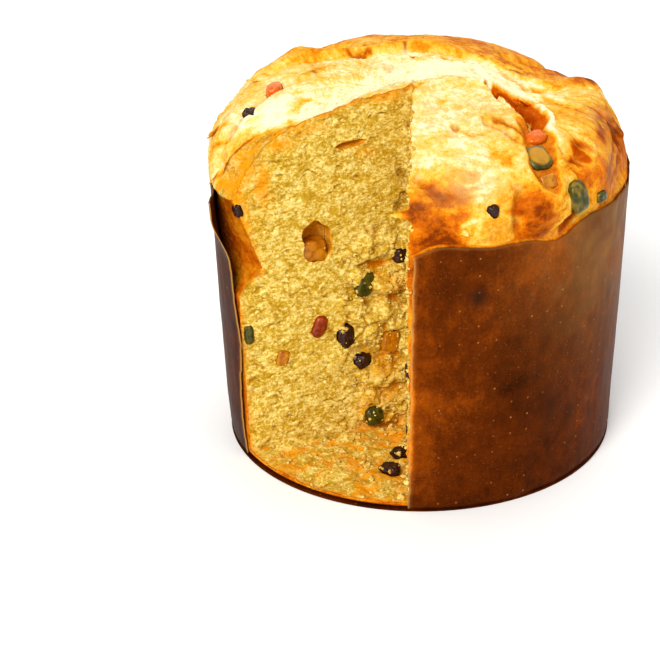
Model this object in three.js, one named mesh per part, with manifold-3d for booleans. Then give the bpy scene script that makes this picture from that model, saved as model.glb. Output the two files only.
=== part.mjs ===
// A panettone in its baking paper, with one wedge cut out of the front and taken away.
// Millimetres, +Z up. The origin is the centre of the paper's underside, and the notch opens towards -Y.
// Angles are in degrees round Z, from +X towards +Y.
import * as THREE from 'three';
import { mergeVertices } from 'three/addons/utils/BufferGeometryUtils.js';
import Module from 'manifold-3d';

const wasm = await Module();
wasm.setup();

// Driving sizes
const paperThickness = 0.8;
const gap = 0.3;
const caseRadius = 80.5;
const caseFlare = 4.5;
const caseHeight = 116;
const springHeight = 114;
const domeHeight = 40;
const domeRadius = 83.6;
const domeSquareness = 2.9;
const floorHeight = 3.6;
const notchTip = new THREE.Vector2(-2.7, -13);
const leftCutTurn = 200.5;
const rightCutTurn = 269.0;
const mapRadius = 105;

const degrees = Math.PI / 180;
const breadBottom = paperThickness + gap;

// Small helpers
const clamp = (x, low, high) => Math.min(high, Math.max(low, x));
const between = (a, b, t) => a + (b - a) * t;
const hump = (x, width) => Math.exp(-((x / width) ** 2));
const turnFrom = (angle, centre) => ((angle - centre + 540) % 360) - 180;

function smoothStep(from, to, x) {
  const t = clamp((x - from) / (to - from), 0, 1);
  return t * t * (3 - 2 * t);
}

// A repeatable random value for a whole-numbered place, and smooth noise between such places
function scatter(x, y, z) {
  const s = Math.sin(x * 127.1 + y * 311.7 + z * 74.7) * 43758.5453;
  return s - Math.floor(s);
}

function noise(x, y, z) {
  const cell = [x, y, z].map(Math.floor);
  const share = [x, y, z].map((value, i) => smoothStep(0, 1, value - cell[i]));
  let total = 0;
  for (let corner = 0; corner < 8; corner += 1) {
    const step = [corner & 1, (corner >> 1) & 1, (corner >> 2) & 1];
    const weight = step.reduce((product, s, i) => product * (s ? share[i] : 1 - share[i]), 1);
    total += weight * scatter(cell[0] + step[0], cell[1] + step[1], cell[2] + step[2]);
  }
  return 2 * total - 1;
}

// A closed skin: a first point, rings of points round it, and a last point
function closedSkin(around, rings, firstPoint, lastPoint, pointAt) {
  const points = [firstPoint];
  for (let row = 0; row < rings; row += 1) {
    for (let column = 0; column < around; column += 1) points.push(pointAt(column, row));
  }
  points.push(lastPoint);
  const at = (column, row) => 1 + row * around + (column % around);
  const faces = [];
  for (let column = 0; column < around; column += 1) {
    faces.push(0, at(column + 1, 0), at(column, 0));
    for (let row = 0; row < rings - 1; row += 1) {
      faces.push(at(column, row), at(column + 1, row), at(column + 1, row + 1));
      faces.push(at(column, row), at(column + 1, row + 1), at(column, row + 1));
    }
    faces.push(points.length - 1, at(column, rings - 1), at(column + 1, rings - 1));
  }
  return skinGeometry(points, faces);
}

// A closed strip: the same loop of points at every station, with both ends filled
function closedStrip(stations, loop, pointAt) {
  const points = [];
  for (let station = 0; station < stations; station += 1) {
    for (let corner = 0; corner < loop; corner += 1) points.push(pointAt(station, corner));
  }
  const at = (station, corner) => station * loop + ((corner + loop) % loop);
  const faces = [];
  for (let corner = 0; corner < loop; corner += 1) {
    for (let station = 0; station < stations - 1; station += 1) {
      faces.push(at(station, corner), at(station + 1, corner), at(station + 1, corner + 1));
      faces.push(at(station, corner), at(station + 1, corner + 1), at(station, corner + 1));
    }
  }
  // The loop goes up one side and down the other, so opposite corners are joined across each end
  for (let corner = 0; corner < loop / 2 - 1; corner += 1) {
    for (const [station, turned] of [[0, false], [stations - 1, true]]) {
      const quad = [at(station, corner), at(station, corner + 1), at(station, -2 - corner), at(station, -1 - corner)];
      if (turned) quad.reverse();
      faces.push(quad[0], quad[1], quad[2], quad[0], quad[2], quad[3]);
    }
  }
  return skinGeometry(points, faces);
}

function skinGeometry(points, faces) {
  const geometry = new THREE.BufferGeometry();
  const values = points.flatMap((point) => [point.x, point.y, point.z]);
  geometry.setAttribute('position', new THREE.Float32BufferAttribute(values, 3));
  geometry.setIndex(faces);
  return geometry;
}

// Solids for joining and cutting
function toSolid(geometry) {
  const plain = geometry.clone();
  plain.deleteAttribute('normal');
  plain.deleteAttribute('uv');
  const merged = mergeVertices(plain, 1e-5);
  const vertProperties = new Float32Array(merged.attributes.position.array);
  const triVerts = new Uint32Array(merged.index.array);
  return new wasm.Manifold(new wasm.Mesh({ numProp: 3, vertProperties, triVerts }));
}

function toGeometry(solid) {
  const mesh = solid.getMesh();
  const geometry = new THREE.BufferGeometry();
  geometry.setAttribute('position', new THREE.BufferAttribute(new Float32Array(mesh.vertProperties), 3));
  geometry.setIndex(new THREE.BufferAttribute(new Uint32Array(mesh.triVerts), 1));
  return geometry;
}

function largestBody(solid) {
  return solid.decompose().reduce((best, body) => (body.volume() > best.volume() ? body : best));
}

// The crust is described on a flat map seen from above: an angle, and a distance from the crown
// that reaches mapRadius where the dome meets the paper.
const onMap = ([angle, distance]) => new THREE.Vector2(
  distance * Math.cos(angle * degrees),
  distance * Math.sin(angle * degrees),
);

function mapPath(stops) {
  const stopPoints = stops.map(onMap).map((point) => new THREE.Vector3(point.x, point.y, 0));
  return new THREE.CatmullRomCurve3(stopPoints).getPoints(8 * (stops.length - 1));
}

// How far a map point lies from a path, on which side, and how far along
function nearPath(x, y, path) {
  let best = { distance: Infinity, side: 0, along: 0 };
  for (let i = 0; i < path.length - 1; i += 1) {
    const from = path[i];
    const dx = path[i + 1].x - from.x;
    const dy = path[i + 1].y - from.y;
    const t = clamp(((x - from.x) * dx + (y - from.y) * dy) / (dx * dx + dy * dy), 0, 1);
    const offX = x - from.x - t * dx;
    const offY = y - from.y - t * dy;
    const distance = Math.hypot(offX, offY);
    if (distance < best.distance) {
      best = { distance, side: Math.sign(dx * offY - dy * offX), along: (i + t) / (path.length - 1) };
    }
  }
  return best;
}

const fadeEnds = (along, share) => smoothStep(0, share, along) * smoothStep(1, 1 - share, along);

// Long shapes in the crust
const backEdge = mapPath([
  [168, 78], [156, 68], [146, 58], [130, 46], [107, 42], [74, 42], [48, 44], [24, 54], [13, 62], [4, 68],
]);
const openedValley = mapPath([
  [212, 98], [204, 82], [203, 68], [202, 58], [190, 41], [150, 16], [34, 22], [2, 46], [346, 60],
]);
const frontRidge = mapPath([[266, 31], [286, 22], [330, 25], [339, 38]]);
const peelTear = mapPath([[341, 42], [332, 50], [328, 57], [324, 65], [320, 72]]);
const fruitPocket = mapPath([[318, 71], [308, 85]]);
const sideFold = mapPath([[20, 84], [6, 80], [352, 79], [334, 86], [324, 99]]);
const creases = [
  { path: mapPath([[300, 86], [297, 95], [297, 104]]), depth: 4, width: 3 },
  { path: mapPath([[300, 60], [306, 66], [309, 75]]), depth: 3, width: 2.5 },
  { path: mapPath([[268, 80], [271, 83], [276, 88], [287, 90]]), depth: 2.5, width: 3 },
  { path: mapPath([[172, 58], [179, 68], [188, 79], [194, 90], [200, 101]]), depth: 2.5, width: 2.2 },
  { path: mapPath([[97, 60], [88, 76], [93, 99]]), depth: 4, width: 4 },
  { path: mapPath([[45, 58], [38, 78], [44, 99]]), depth: 4.5, width: 4 },
  { path: mapPath([[128, 56], [133, 78], [126, 98]]), depth: 4.5, width: 4 },
];
// Rounded shapes in the crust: place on the map, height, and radius across and along the slope
const bumps = [
  { at: [4, 62], height: -3, size: [8, 7] },
  { at: [321, 85], height: -5, size: [6, 3] },
  { at: [305, 93], height: 5, size: [12, 12] },
  { at: [278, 92], height: -4, size: [4.5, 9] },
  { at: [146, 70], height: 2.8, size: [6, 5] },
  { at: [350, 94], height: 1, size: [6, 6] },
  { at: [286, 62], height: -1.5, size: [2, 5] },
  { at: [70, 82], height: 2, size: [12, 16] },
  { at: [110, 80], height: 2, size: [12, 14] },
  { at: [90, 52], height: 1.6, size: [14, 18] },
];

// Height of the crust above the plain dome
function crustRelief(angle, share) {
  const { x, y } = onMap([angle, share * mapRadius]);
  const back = nearPath(x, y, backEdge);
  let relief = 0;
  if (back.side > 0) {
    const raised = between(4.4, 1.6, smoothStep(0.45, 0.75, back.along)) * fadeEnds(back.along, 0.12);
    relief += raised * Math.exp(-back.distance / 30) * smoothStep(0, 2.5, back.distance);
  }
  const valley = nearPath(x, y, openedValley);
  relief -= hump(valley.distance, 15) * 7 * (0.15 + 0.85 * hump(valley.along - 0.28, 0.42));
  const ridge = nearPath(x, y, frontRidge);
  relief += 3 * hump(ridge.distance, 11);
  const tear = nearPath(x, y, peelTear);
  const tearWidth = 2 + 3.5 * Math.sin(Math.PI * tear.along);
  relief -= 6 * smoothStep(tearWidth, tearWidth * 0.35, tear.distance);
  const pocket = nearPath(x, y, fruitPocket);
  relief -= 3.5 * smoothStep(8, 3, pocket.distance);
  const fold = nearPath(x, y, sideFold);
  relief += (0.4 + 0.6 * fadeEnds(fold.along, 0.18)) * (2.2 * hump(fold.distance, 14) + 1.6 * hump(fold.distance, 5));
  relief -= 2.6 * hump(x - 66, 26) * hump(y - 4, 40);
  for (const crease of creases) {
    const near = nearPath(x, y, crease.path);
    relief -= crease.depth * hump(near.distance, crease.width) * fadeEnds(near.along, 0.15);
  }
  for (const bump of bumps) {
    const centre = onMap(bump.at);
    const turn = bump.at[0] * degrees;
    const outward = (x - centre.x) * Math.cos(turn) + (y - centre.y) * Math.sin(turn);
    const across = (y - centre.y) * Math.cos(turn) - (x - centre.x) * Math.sin(turn);
    relief += bump.height * hump(outward, bump.size[0]) * hump(across, bump.size[1]);
  }
  relief += 0.6 * noise(x / 9, y / 9, 3);
  return relief * smoothStep(1, 0.93, share);
}

// Radius of the dome where it leaves the paper
const domeRadiusAt = (angle) => domeRadius
  - 1.8 * Math.cos(angle * degrees)
  + 0.8 * Math.cos(2 * angle * degrees + 0.6)
  + 0.5 * Math.cos(3 * angle * degrees + 1);

// A point of the crust and its outward direction, as [radius, height] pairs
function crustPoint(angle, share, lift = 0) {
  const radius = domeRadiusAt(angle);
  const slope = (1 - share) * Math.PI / 2;
  const across = Math.cos(slope);
  const up = Math.sin(slope);
  const n = domeSquareness;
  const reach = ((across / radius) ** n + (up / domeHeight) ** n) ** (-1 / n);
  const normal = new THREE.Vector2(
    (reach * across) ** (n - 1) / radius ** n,
    (reach * up) ** (n - 1) / domeHeight ** n,
  ).normalize();
  const away = crustRelief(angle, share) + lift;
  return {
    radius: reach * across + normal.x * away,
    height: springHeight + reach * up + normal.y * away,
    normal,
  };
}

// Share of the map at which the plain dome is a given height
function shareAtHeight(angle, height) {
  const radius = domeRadiusAt(angle);
  const above = Math.max(height - springHeight, 0);
  const out = radius * (1 - (above / domeHeight) ** domeSquareness) ** (1 / domeSquareness);
  return 1 - Math.atan2(above, out) / (Math.PI / 2);
}

const round = (angle, radius, height) => new THREE.Vector3(
  radius * Math.cos(angle * degrees),
  radius * Math.sin(angle * degrees),
  height,
);

// The paper case
const paperRadiusAt = (height) => caseRadius + caseFlare * height / caseHeight;
const paperTopAt = (angle) => caseHeight + 0.4
  + 0.8 * Math.sin(7 * angle * degrees)
  + 0.5 * Math.sin(17 * angle * degrees + 1)
  - 3.2 * hump(turnFrom(angle, 308), 7)
  - 3.5 * hump(turnFrom(angle, 267), 4);
const paperFlareAt = (angle, height) => 7 * hump(turnFrom(angle, 208), 7) * smoothStep(88, 110, height)
  + 0.8 * hump(turnFrom(angle, 195), 28) * smoothStep(0, 20, height);
// Where the wall's torn ends stand, at each side of the notch
const leftEndAt = (height) => 207.2 + 2.5 * hump(height - 53, 14) - 1.2 * hump(height - 98, 12);
const rightEndAt = (height) => -93.1 + 0.014 * height;

function paperWall() {
  const stations = 58;
  const levels = [0, 0.3, 0.62, 0.86, 1];
  const loop = 2 * levels.length;
  return closedStrip(stations, loop, (station, corner) => {
    const inner = corner >= levels.length;
    const level = levels[inner ? loop - 1 - corner : corner];
    const turn = station / (stations - 1);
    const roughAngle = between(rightEndAt(level * caseHeight), leftEndAt(level * caseHeight), turn);
    const height = between(breadBottom, paperTopAt(roughAngle), level);
    const angle = between(rightEndAt(height), leftEndAt(height), turn);
    const radius = paperRadiusAt(height) + paperFlareAt(angle, height) - (inner ? paperThickness : 0);
    return round(angle, radius, height);
  });
}

function paperBase() {
  const around = 72;
  const rings = [[1, 0], [1, paperThickness]];
  const first = new THREE.Vector3(0, 0, 0);
  const last = new THREE.Vector3(0, 0, paperThickness);
  return closedSkin(around, rings.length, first, last, (column, row) => (
    round(column * 360 / around, rings[row][0] * caseRadius, rings[row][1])
  ));
}

// The whole loaf before cutting: underside, side inside the paper, then the dome
const breadRadiusAt = (height) => paperRadiusAt(height) - paperThickness - gap;
// Where the crust has shrunk away from the paper, left of the notch
const shrunkAt = (angle, height) => 11 * hump(turnFrom(angle, 209), 10)
  * smoothStep(76, 84, height) * clamp((119 - height) / 35, 0, 1);

function wholeLoaf() {
  const around = 76;
  const bottom = [0.5, 0.985];
  const sides = [0.012, 0.18, 0.36, 0.54, 0.66, 0.72, 0.8, 0.88, 0.95];
  const dome = 18;
  const rings = bottom.length + sides.length + 1 + dome;
  const first = new THREE.Vector3(0, 0, breadBottom);
  const crown = crustPoint(0, 0);
  const last = new THREE.Vector3(0, 0, crown.height);
  return closedSkin(around, rings, first, last, (column, row) => {
    const angle = column * 360 / around;
    if (row < bottom.length) return round(angle, bottom[row] * breadRadiusAt(0), breadBottom);
    const paperTop = paperTopAt(angle);
    const side = row - bottom.length;
    if (side <= sides.length) {
      const height = side < sides.length ? between(breadBottom, paperTop, sides[side]) : paperTop + gap;
      return round(angle, breadRadiusAt(height) - shrunkAt(angle, height), height);
    }
    const rim = shareAtHeight(angle, paperTop + 2 * gap);
    const share = rim * (1 - (side - sides.length - 1) / dome);
    const point = crustPoint(angle, share);
    return round(angle, point.radius, Math.max(point.height, paperTop + 2 * gap));
  });
}

// The notch: its two cut faces start at the tip and run outward
const cutDirection = (turn) => new THREE.Vector2(Math.cos(turn * degrees), Math.sin(turn * degrees));
const leftCut = cutDirection(leftCutTurn);
const rightCut = cutDirection(rightCutTurn);
// Directions out of the bread, into the notch
const leftOut = new THREE.Vector2(-leftCut.y, leftCut.x);
const rightOut = new THREE.Vector2(rightCut.y, -rightCut.x);

// How far the crumb stands out of each cut face
function leftRelief(along, height) {
  const torn = smoothStep(34, 22, along + 0.18 * Math.abs(height - 55))
    * smoothStep(4, 14, height) * smoothStep(100, 84, height);
  return 0.35 * noise(along / 7, height / 7, 1) + 2.6 * torn * noise(along / 5, height / 5, 2) * fadeTip(along);
}

function rightRelief(along, height) {
  const torn = smoothStep(10, 30, height) * smoothStep(140, 110, height);
  const flake = 8 * hump(along - 69, 5) * hump(height - 129, 3);
  return (0.35 * noise(along / 7, height / 7, 5) + 1.4 * torn * noise(along / 6, height / 6, 6)) * fadeTip(along)
    + flake;
}

const fadeTip = (along) => smoothStep(0, 8, along);
const floorAt = (x, y) => floorHeight + 0.9 * noise(x / 9, y / 9, 7);

function notch() {
  const reach = 112;
  const steps = 23;
  const corners = [new THREE.Vector2(-130, -70), new THREE.Vector2(-110, -150), new THREE.Vector2(-20, -160)];
  const around = 2 * steps + 1 + corners.length;
  const floorRings = 5;
  const levels = 25;
  const top = 175;
  const middle = new THREE.Vector2(-48, -72);
  const edge = (column, height) => {
    if (column > 2 * steps) return corners[2 * steps + corners.length - column].clone();
    const right = column <= steps;
    const along = reach * Math.abs(1 - column / steps) ** 1.15;
    const lift = right ? rightRelief(along, height) : leftRelief(along, height);
    return notchTip.clone()
      .addScaledVector(right ? rightCut : leftCut, along)
      .addScaledVector(right ? rightOut : leftOut, lift);
  };
  const first = new THREE.Vector3(middle.x, middle.y, floorAt(middle.x, middle.y));
  const last = new THREE.Vector3(middle.x, middle.y, top);
  return closedSkin(around, floorRings + levels, first, last, (column, row) => {
    if (row < floorRings) {
      const place = middle.clone().lerp(edge(column, floorHeight), (row + 1) / floorRings);
      return new THREE.Vector3(place.x, place.y, floorAt(place.x, place.y));
    }
    const height = between(floorHeight + 1.2, top, ((row - floorRings) / (levels - 1)) ** 1.1);
    const place = edge(column, height);
    return new THREE.Vector3(place.x, place.y, height);
  });
}

// Fruit: a rounded lump with semi-axes across, up and out of the face that holds it
const fruitKinds = {
  raisin: { colour: 0x2a1a1c, roughness: 0.45, squareness: 2.2, wrinkle: 0.14 },
  orange: { colour: 0xe0701c, roughness: 0.25, squareness: 3.2, wrinkle: 0.05 },
  amber: { colour: 0xd79a2b, roughness: 0.22, squareness: 4, wrinkle: 0.04 },
  green: { colour: 0x3c4a16, roughness: 0.25, squareness: 3.4, wrinkle: 0.05 },
  russet: { colour: 0x8c2f16, roughness: 0.35, squareness: 2.6, wrinkle: 0.1 },
};

function lump(size, kind, seed, grow = 0) {
  const around = 10;
  const rings = 4;
  const { squareness, wrinkle } = fruitKinds[kind];
  const surface = (turn, lift) => {
    const d = new THREE.Vector3(Math.cos(turn) * Math.cos(lift), Math.sin(turn) * Math.cos(lift), Math.sin(lift));
    const s = squareness;
    const scale = (Math.abs(d.x) ** s + Math.abs(d.y) ** s + Math.abs(d.z) ** s) ** (-1 / s);
    const dent = 1 + wrinkle * noise(2.3 * d.x + seed, 2.3 * d.y, 2.3 * d.z);
    return new THREE.Vector3(
      d.x * scale * (size[0] / 2 * dent + grow),
      d.y * scale * (size[1] / 2 * dent + grow),
      d.z * scale * (size[2] / 2 * dent + grow),
    );
  };
  const bottom = surface(0, -Math.PI / 2);
  const top = surface(0, Math.PI / 2);
  return closedSkin(around, rings, bottom, top, (column, row) => (
    surface(column * 2 * Math.PI / around, ((row + 1) / (rings + 1) - 0.5) * Math.PI)
  ));
}

// A frame on a cut face, along millimetres from the notch's tip, sunk below the face
function onCut(side, along, height, sink) {
  const left = side === 'left';
  const direction = left ? leftCut : rightCut;
  const out = left ? leftOut : rightOut;
  const place = notchTip.clone().addScaledVector(direction, along).addScaledVector(out, -sink);
  const normal = new THREE.Vector3(out.x, out.y, 0);
  const up = new THREE.Vector3(0, 0, 1);
  const across = new THREE.Vector3().crossVectors(up, normal);
  return new THREE.Matrix4().makeBasis(across, up, normal).setPosition(place.x, place.y, height);
}

// A frame on the crust at a map place
function onCrust([angle, distance], sink) {
  const point = crustPoint(angle, distance / mapRadius, -sink);
  const outward = round(angle, 1, 0);
  const normal = outward.clone().multiplyScalar(point.normal.x).setZ(point.normal.y);
  const across = new THREE.Vector3(0, 0, 1).cross(outward);
  const up = new THREE.Vector3().crossVectors(normal, across);
  const place = round(angle, point.radius, point.height);
  return new THREE.Matrix4().makeBasis(across, up, normal).setPosition(place);
}

const onFloor = (x, y, lift) => new THREE.Matrix4().setPosition(x, y, floorHeight + lift);

// Every piece of fruit that shows: name, kind, frame, size across, up and out, and turn in its face
const fruit = [
  ['amber_in_hollow', 'amber', onCut('left', 42, 88.6, 4.4), [11, 9.5, 8], 6],
  ['green_peel_mid_left', 'green', onCut('left', 20.8, 71.2, 1.8), [7.5, 11, 6], -12],
  ['russet_peel_left', 'russet', onCut('left', 40.4, 55.4, 1.4), [6, 10, 5.5], -20],
  ['raisin_left_upper', 'raisin', onCut('left', 29.2, 48.9, 1.6), [7.5, 12, 7], 8],
  ['raisin_left_lower', 'raisin', onCut('left', 22.2, 36.4, 1.4), [7.8, 7.8, 7], 30],
  ['raisin_by_tip', 'raisin', onCut('left', 5.4, 82, 1.2), [5.5, 8.5, 5], 0],
  ['green_peel_outer_left', 'green', onCut('left', 70.5, 57, 1.4), [4, 8.5, 5], 5],
  ['amber_small_left', 'amber', onCut('left', 56.5, 44, 1.6), [5, 6.5, 5], -15],
  ['amber_strip_by_tip', 'amber', onCut('left', 9.6, 43.5, 1.2), [7, 9, 4.5], -10],
  ['green_peel_low_left', 'green', onCut('left', 17.3, 9.6, 0.8), [7.8, 8.6, 6.5], 10],
  ['raisin_outer_left', 'raisin', onCut('left', 73, 112, 1.2), [4, 6, 4.5], 15],
  ['raisin_floor_inner', 'raisin', onFloor(-8, -42.2, 1.4), [8, 6.5, 5.5], 25],
  ['raisin_floor_outer', 'raisin', onFloor(-11.5, -55.5, 1.4), [9.5, 6.5, 5.5], -30],
  ['orange_peel_in_tear', 'orange', onCrust([327, 59], 1), [15, 5.5, 4.5], 62],
  ['orange_peel_right', 'orange', onCrust([317.5, 72], 0.6), [9.5, 6.5, 6], 0],
  ['green_slice_right', 'green', onCrust([310, 79.5], 0.4), [11, 11, 6], 0],
  ['amber_under_slice', 'amber', onCrust([308, 88], 0.8), [7, 5.5, 5], 0],
  ['green_peel_right', 'green', onCrust([316, 95], -0.2), [9, 12, 7], 8],
  ['green_bit_right', 'green', onCrust([326, 98.5], 0.2), [5.5, 4.5, 4], 0],
  ['raisin_front', 'raisin', onCrust([290, 93], 1), [4.8, 5.5, 4.5], 0],
  ['raisin_top_left', 'raisin', onCrust([188, 77.5], 0.4), [7.5, 6, 5.5], 20],
  ['orange_peel_top_left', 'orange', onCrust([178, 69.5], 0.2), [9.5, 6.5, 5.5], 0],
  ['raisin_back', 'raisin', onCrust([97, 91], 0.8), [8, 6.5, 6], 40],
  ['orange_peel_back', 'orange', onCrust([52, 93], 0.8), [9, 6.5, 6], -20],
  ['raisin_back_left', 'raisin', onCrust([142, 88], 0.8), [7.5, 6, 5.5], 0],
  ['raisin_right_upper', 'raisin', onCut('right', 22, 121, 1.6), [8, 7, 6], 15],
  ['amber_right_upper', 'amber', onCut('right', 58, 97, 1.8), [9, 8, 6], 20],
  ['green_peel_right_mid', 'green', onCut('right', 33, 80, 1.6), [7, 11, 6], -25],
  ['raisin_right_mid', 'raisin', onCut('right', 64, 62, 1.6), [9, 7, 6.5], -10],
  ['orange_peel_right_mid', 'orange', onCut('right', 24, 48, 1.6), [9, 6.5, 6], 35],
  ['raisin_right_low', 'raisin', onCut('right', 47, 27, 1.6), [8, 9, 6.5], 0],
];

function placed(geometry, frame, turn) {
  const twist = new THREE.Matrix4().makeRotationZ(turn * degrees);
  return geometry.clone().applyMatrix4(twist).applyMatrix4(frame);
}

// Hollows in the crumb: the one round the amber piece, and a flat slit above it
const hollows = [
  { frame: onCut('left', 41, 93.6, 2), size: [13, 19, 13], turn: 4 },
  { frame: onCut('left', 26.5, 133.8, 0), size: [13, 3.2, 7], turn: 6 },
];

function bread() {
  let solid = toSolid(wholeLoaf()).subtract(toSolid(notch()));
  for (const hollow of hollows) {
    solid = solid.subtract(toSolid(placed(lump(hollow.size, 'raisin', 4), hollow.frame, hollow.turn)));
  }
  fruit.forEach(([, kind, frame, size, turn], seed) => {
    solid = solid.subtract(toSolid(placed(lump(size, kind, seed, 1.5 * gap), frame, turn)));
  });
  return toGeometry(largestBody(solid));
}

// The finished group
const panettone = new THREE.Group();

function addPiece(name, geometry, colour, roughness) {
  const material = new THREE.MeshStandardMaterial({ color: colour, roughness, metalness: 0 });
  const mesh = new THREE.Mesh(geometry, material);
  mesh.name = name;
  panettone.add(mesh);
}

addPiece('bread', bread(), 0xe3a552, 0.85);
addPiece('paper_base', paperBase(), 0x6b3a1c, 0.8);
addPiece('paper_wall', paperWall(), 0x8a4a1e, 0.8);
fruit.forEach(([name, kind, frame, size, turn], seed) => {
  const { colour, roughness } = fruitKinds[kind];
  addPiece(name, placed(lump(size, kind, seed), frame, turn), colour, roughness);
});

export default panettone;
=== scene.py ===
# A panettone in its baking paper, opened by one wedge-shaped cut.
# Shapes are worked out in millimetres and angles in degrees; meshes are made in metres.
import bpy
import numpy as np
from mathutils import Matrix, Vector


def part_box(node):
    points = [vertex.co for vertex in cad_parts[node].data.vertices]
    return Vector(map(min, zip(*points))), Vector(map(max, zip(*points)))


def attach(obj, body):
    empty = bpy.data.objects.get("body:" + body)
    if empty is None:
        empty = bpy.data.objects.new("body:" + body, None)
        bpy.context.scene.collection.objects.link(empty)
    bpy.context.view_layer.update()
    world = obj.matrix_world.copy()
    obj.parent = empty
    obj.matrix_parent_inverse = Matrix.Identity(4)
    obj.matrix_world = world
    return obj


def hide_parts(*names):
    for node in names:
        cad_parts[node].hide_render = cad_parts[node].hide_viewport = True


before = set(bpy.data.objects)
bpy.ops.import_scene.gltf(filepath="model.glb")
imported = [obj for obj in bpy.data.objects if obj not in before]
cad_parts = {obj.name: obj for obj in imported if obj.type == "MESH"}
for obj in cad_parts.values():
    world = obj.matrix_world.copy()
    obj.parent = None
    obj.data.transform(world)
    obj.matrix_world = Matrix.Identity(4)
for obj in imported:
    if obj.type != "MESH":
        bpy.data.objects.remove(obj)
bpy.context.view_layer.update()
mm = 0.001

# The loaf's driving sizes, as the frame's solids have them
loaf = {
    "gap": 0.3,
    "caseFlare": 4.5,
    "caseHeight": 116.0,
    "springHeight": 114.0,   # where the dome begins
    "domeHeight": 40.0,
    "domeRadius": 83.6,
    "squareness": 2.9,
    "floorHeight": 3.6,      # top of the crumb left under the notch
    "tip": (-2.7, -13.0),    # inner end of the notch, seen from above
    "leftTurn": 200.5,       # directions of the two cut faces from the tip
    "rightTurn": 269.0,
    "mapRadius": 105.0,      # map distance at which the crust meets the paper
}
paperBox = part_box("paper_base")
caseRadius = paperBox[1].x / mm
paperThickness = (paperBox[1].z - paperBox[0].z) / mm
breadBottom = paperThickness + loaf["gap"]
degree = np.pi / 180


# Small helpers on arrays
def smooth(low, high, x):  # eased step from 0 at low to 1 at high
    t = np.clip((x - low) / (high - low), 0, 1)
    return t * t * (3 - 2 * t)


def hump(x, width):  # bell of height 1
    return np.exp(-(x / width) ** 2)


def between(a, b, t):
    return a + (b - a) * t


def turnFrom(angle, centre):
    return (angle - centre + 540) % 360 - 180


def scatter(i, j, k, seed):  # repeatable value from -1 to 1 for a whole-numbered place
    n = (i * 374761393 + j * 668265263 + k * 1274126177 + seed * 982451653) & 0xFFFFFFFF
    n = ((n ^ (n >> 13)) * 1103515245) & 0xFFFFFFFF
    n = ((n ^ (n >> 16)) * 1812433253) & 0xFFFFFFFF
    return (n ^ (n >> 15)) / 2147483647.5 - 1


def noise(x, y, z=0.0, seed=0):  # smooth blend of the eight scattered values round each point
    x, y, z = np.broadcast_arrays(x, y, z)
    cell = [np.floor(v).astype(np.int64) for v in (x, y, z)]
    share = [v - c for v, c in zip((x, y, z), cell)]
    share = [s * s * (3 - 2 * s) for s in share]
    total = 0.0
    for corner in range(8):
        step = (corner & 1, corner >> 1 & 1, corner >> 2 & 1)
        weight = 1.0
        for s, up in zip(share, step):
            weight = weight * (s if up else 1 - s)
        total = total + weight * scatter(*(c + s for c, s in zip(cell, step)), seed)
    return total


def layered(x, y, z=0.0, seed=0, octaves=3):  # noise plus its finer, weaker copies
    total, size = 0.0, 1.0
    for octave in range(octaves):
        total = total + size * noise(x / size, y / size, z / size, seed + 17 * octave)
        size *= 0.5
    return total / 1.6


def ridged(x, y, z=0.0, seed=0, octaves=3):  # 1 on thin winding ridges, falling to 0 between them
    total, size = 0.0, 1.0
    for octave in range(octaves):
        total = total + size * (1 - np.abs(noise(x / size, y / size, z / size, seed + 31 * octave))) ** 2
        size *= 0.5
    return total / 1.75


def cells(u, v, seed):
    # one point in each unit square, near its middle: distance to the nearest, and that one's own value
    reach = 0.425
    cu, cv = np.floor(u).astype(np.int64), np.floor(v).astype(np.int64)
    nearest, value = np.full(np.shape(u), 9.0), np.zeros(np.shape(u))
    for du in (-1, 0, 1):
        for dv in (-1, 0, 1):
            i, j = cu + du, cv + dv
            x, y, own = (scatter(i, j, 0 * i + k, seed) for k in range(3))
            away = np.hypot(u - (i + 0.5 + reach * x), v - (j + 0.5 + reach * y))
            value = np.where(away < nearest, own, value)
            nearest = np.minimum(nearest, away)
    return nearest, value


# Mesh making
def newPiece(name, points, quads, triangles=(), values=None):
    # points in millimetres; values maps an attribute's name to one number per point
    points = np.asarray(points, float)
    quads = np.asarray(quads, np.int32).reshape(-1, 4)
    triangles = np.asarray(triangles, np.int32).reshape(-1, 3)
    corners = np.concatenate([quads.ravel(), triangles.ravel()])
    starts = np.append(np.arange(len(quads)) * 4, len(quads) * 4 + np.arange(len(triangles)) * 3)
    mesh = bpy.data.meshes.new(name)
    mesh.vertices.add(len(points))
    mesh.vertices.foreach_set("co", (points * mm).astype(np.float32).ravel())
    mesh.loops.add(len(corners))
    mesh.loops.foreach_set("vertex_index", corners)
    mesh.polygons.add(len(starts))
    mesh.polygons.foreach_set("loop_start", starts.astype(np.int32))
    mesh.update(calc_edges=True)
    mesh.polygons.foreach_set("use_smooth", np.ones(len(starts), bool))
    for key, array in (values or {}).items():
        setValues(mesh, key, array)
    piece = bpy.data.objects.new(name, mesh)
    bpy.context.scene.collection.objects.link(piece)
    return piece


def setValues(mesh, key, array, domain="POINT", kind="FLOAT"):
    if key in mesh.attributes:
        mesh.attributes.remove(mesh.attributes[key])
    array = np.ascontiguousarray(array, np.float32 if kind == "FLOAT" else np.int32)
    mesh.attributes.new(key, kind, domain).data.foreach_set("value", array.ravel())


def getValues(mesh, key, count, kind=np.float32):
    array = np.zeros(count, kind)
    mesh.attributes[key].data.foreach_get("value", array)
    return array


def places(mesh):  # vertex places in millimetres
    array = np.zeros(len(mesh.vertices) * 3, np.float32)
    mesh.vertices.foreach_get("co", array)
    return array.reshape(-1, 3).astype(float) / mm


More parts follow.
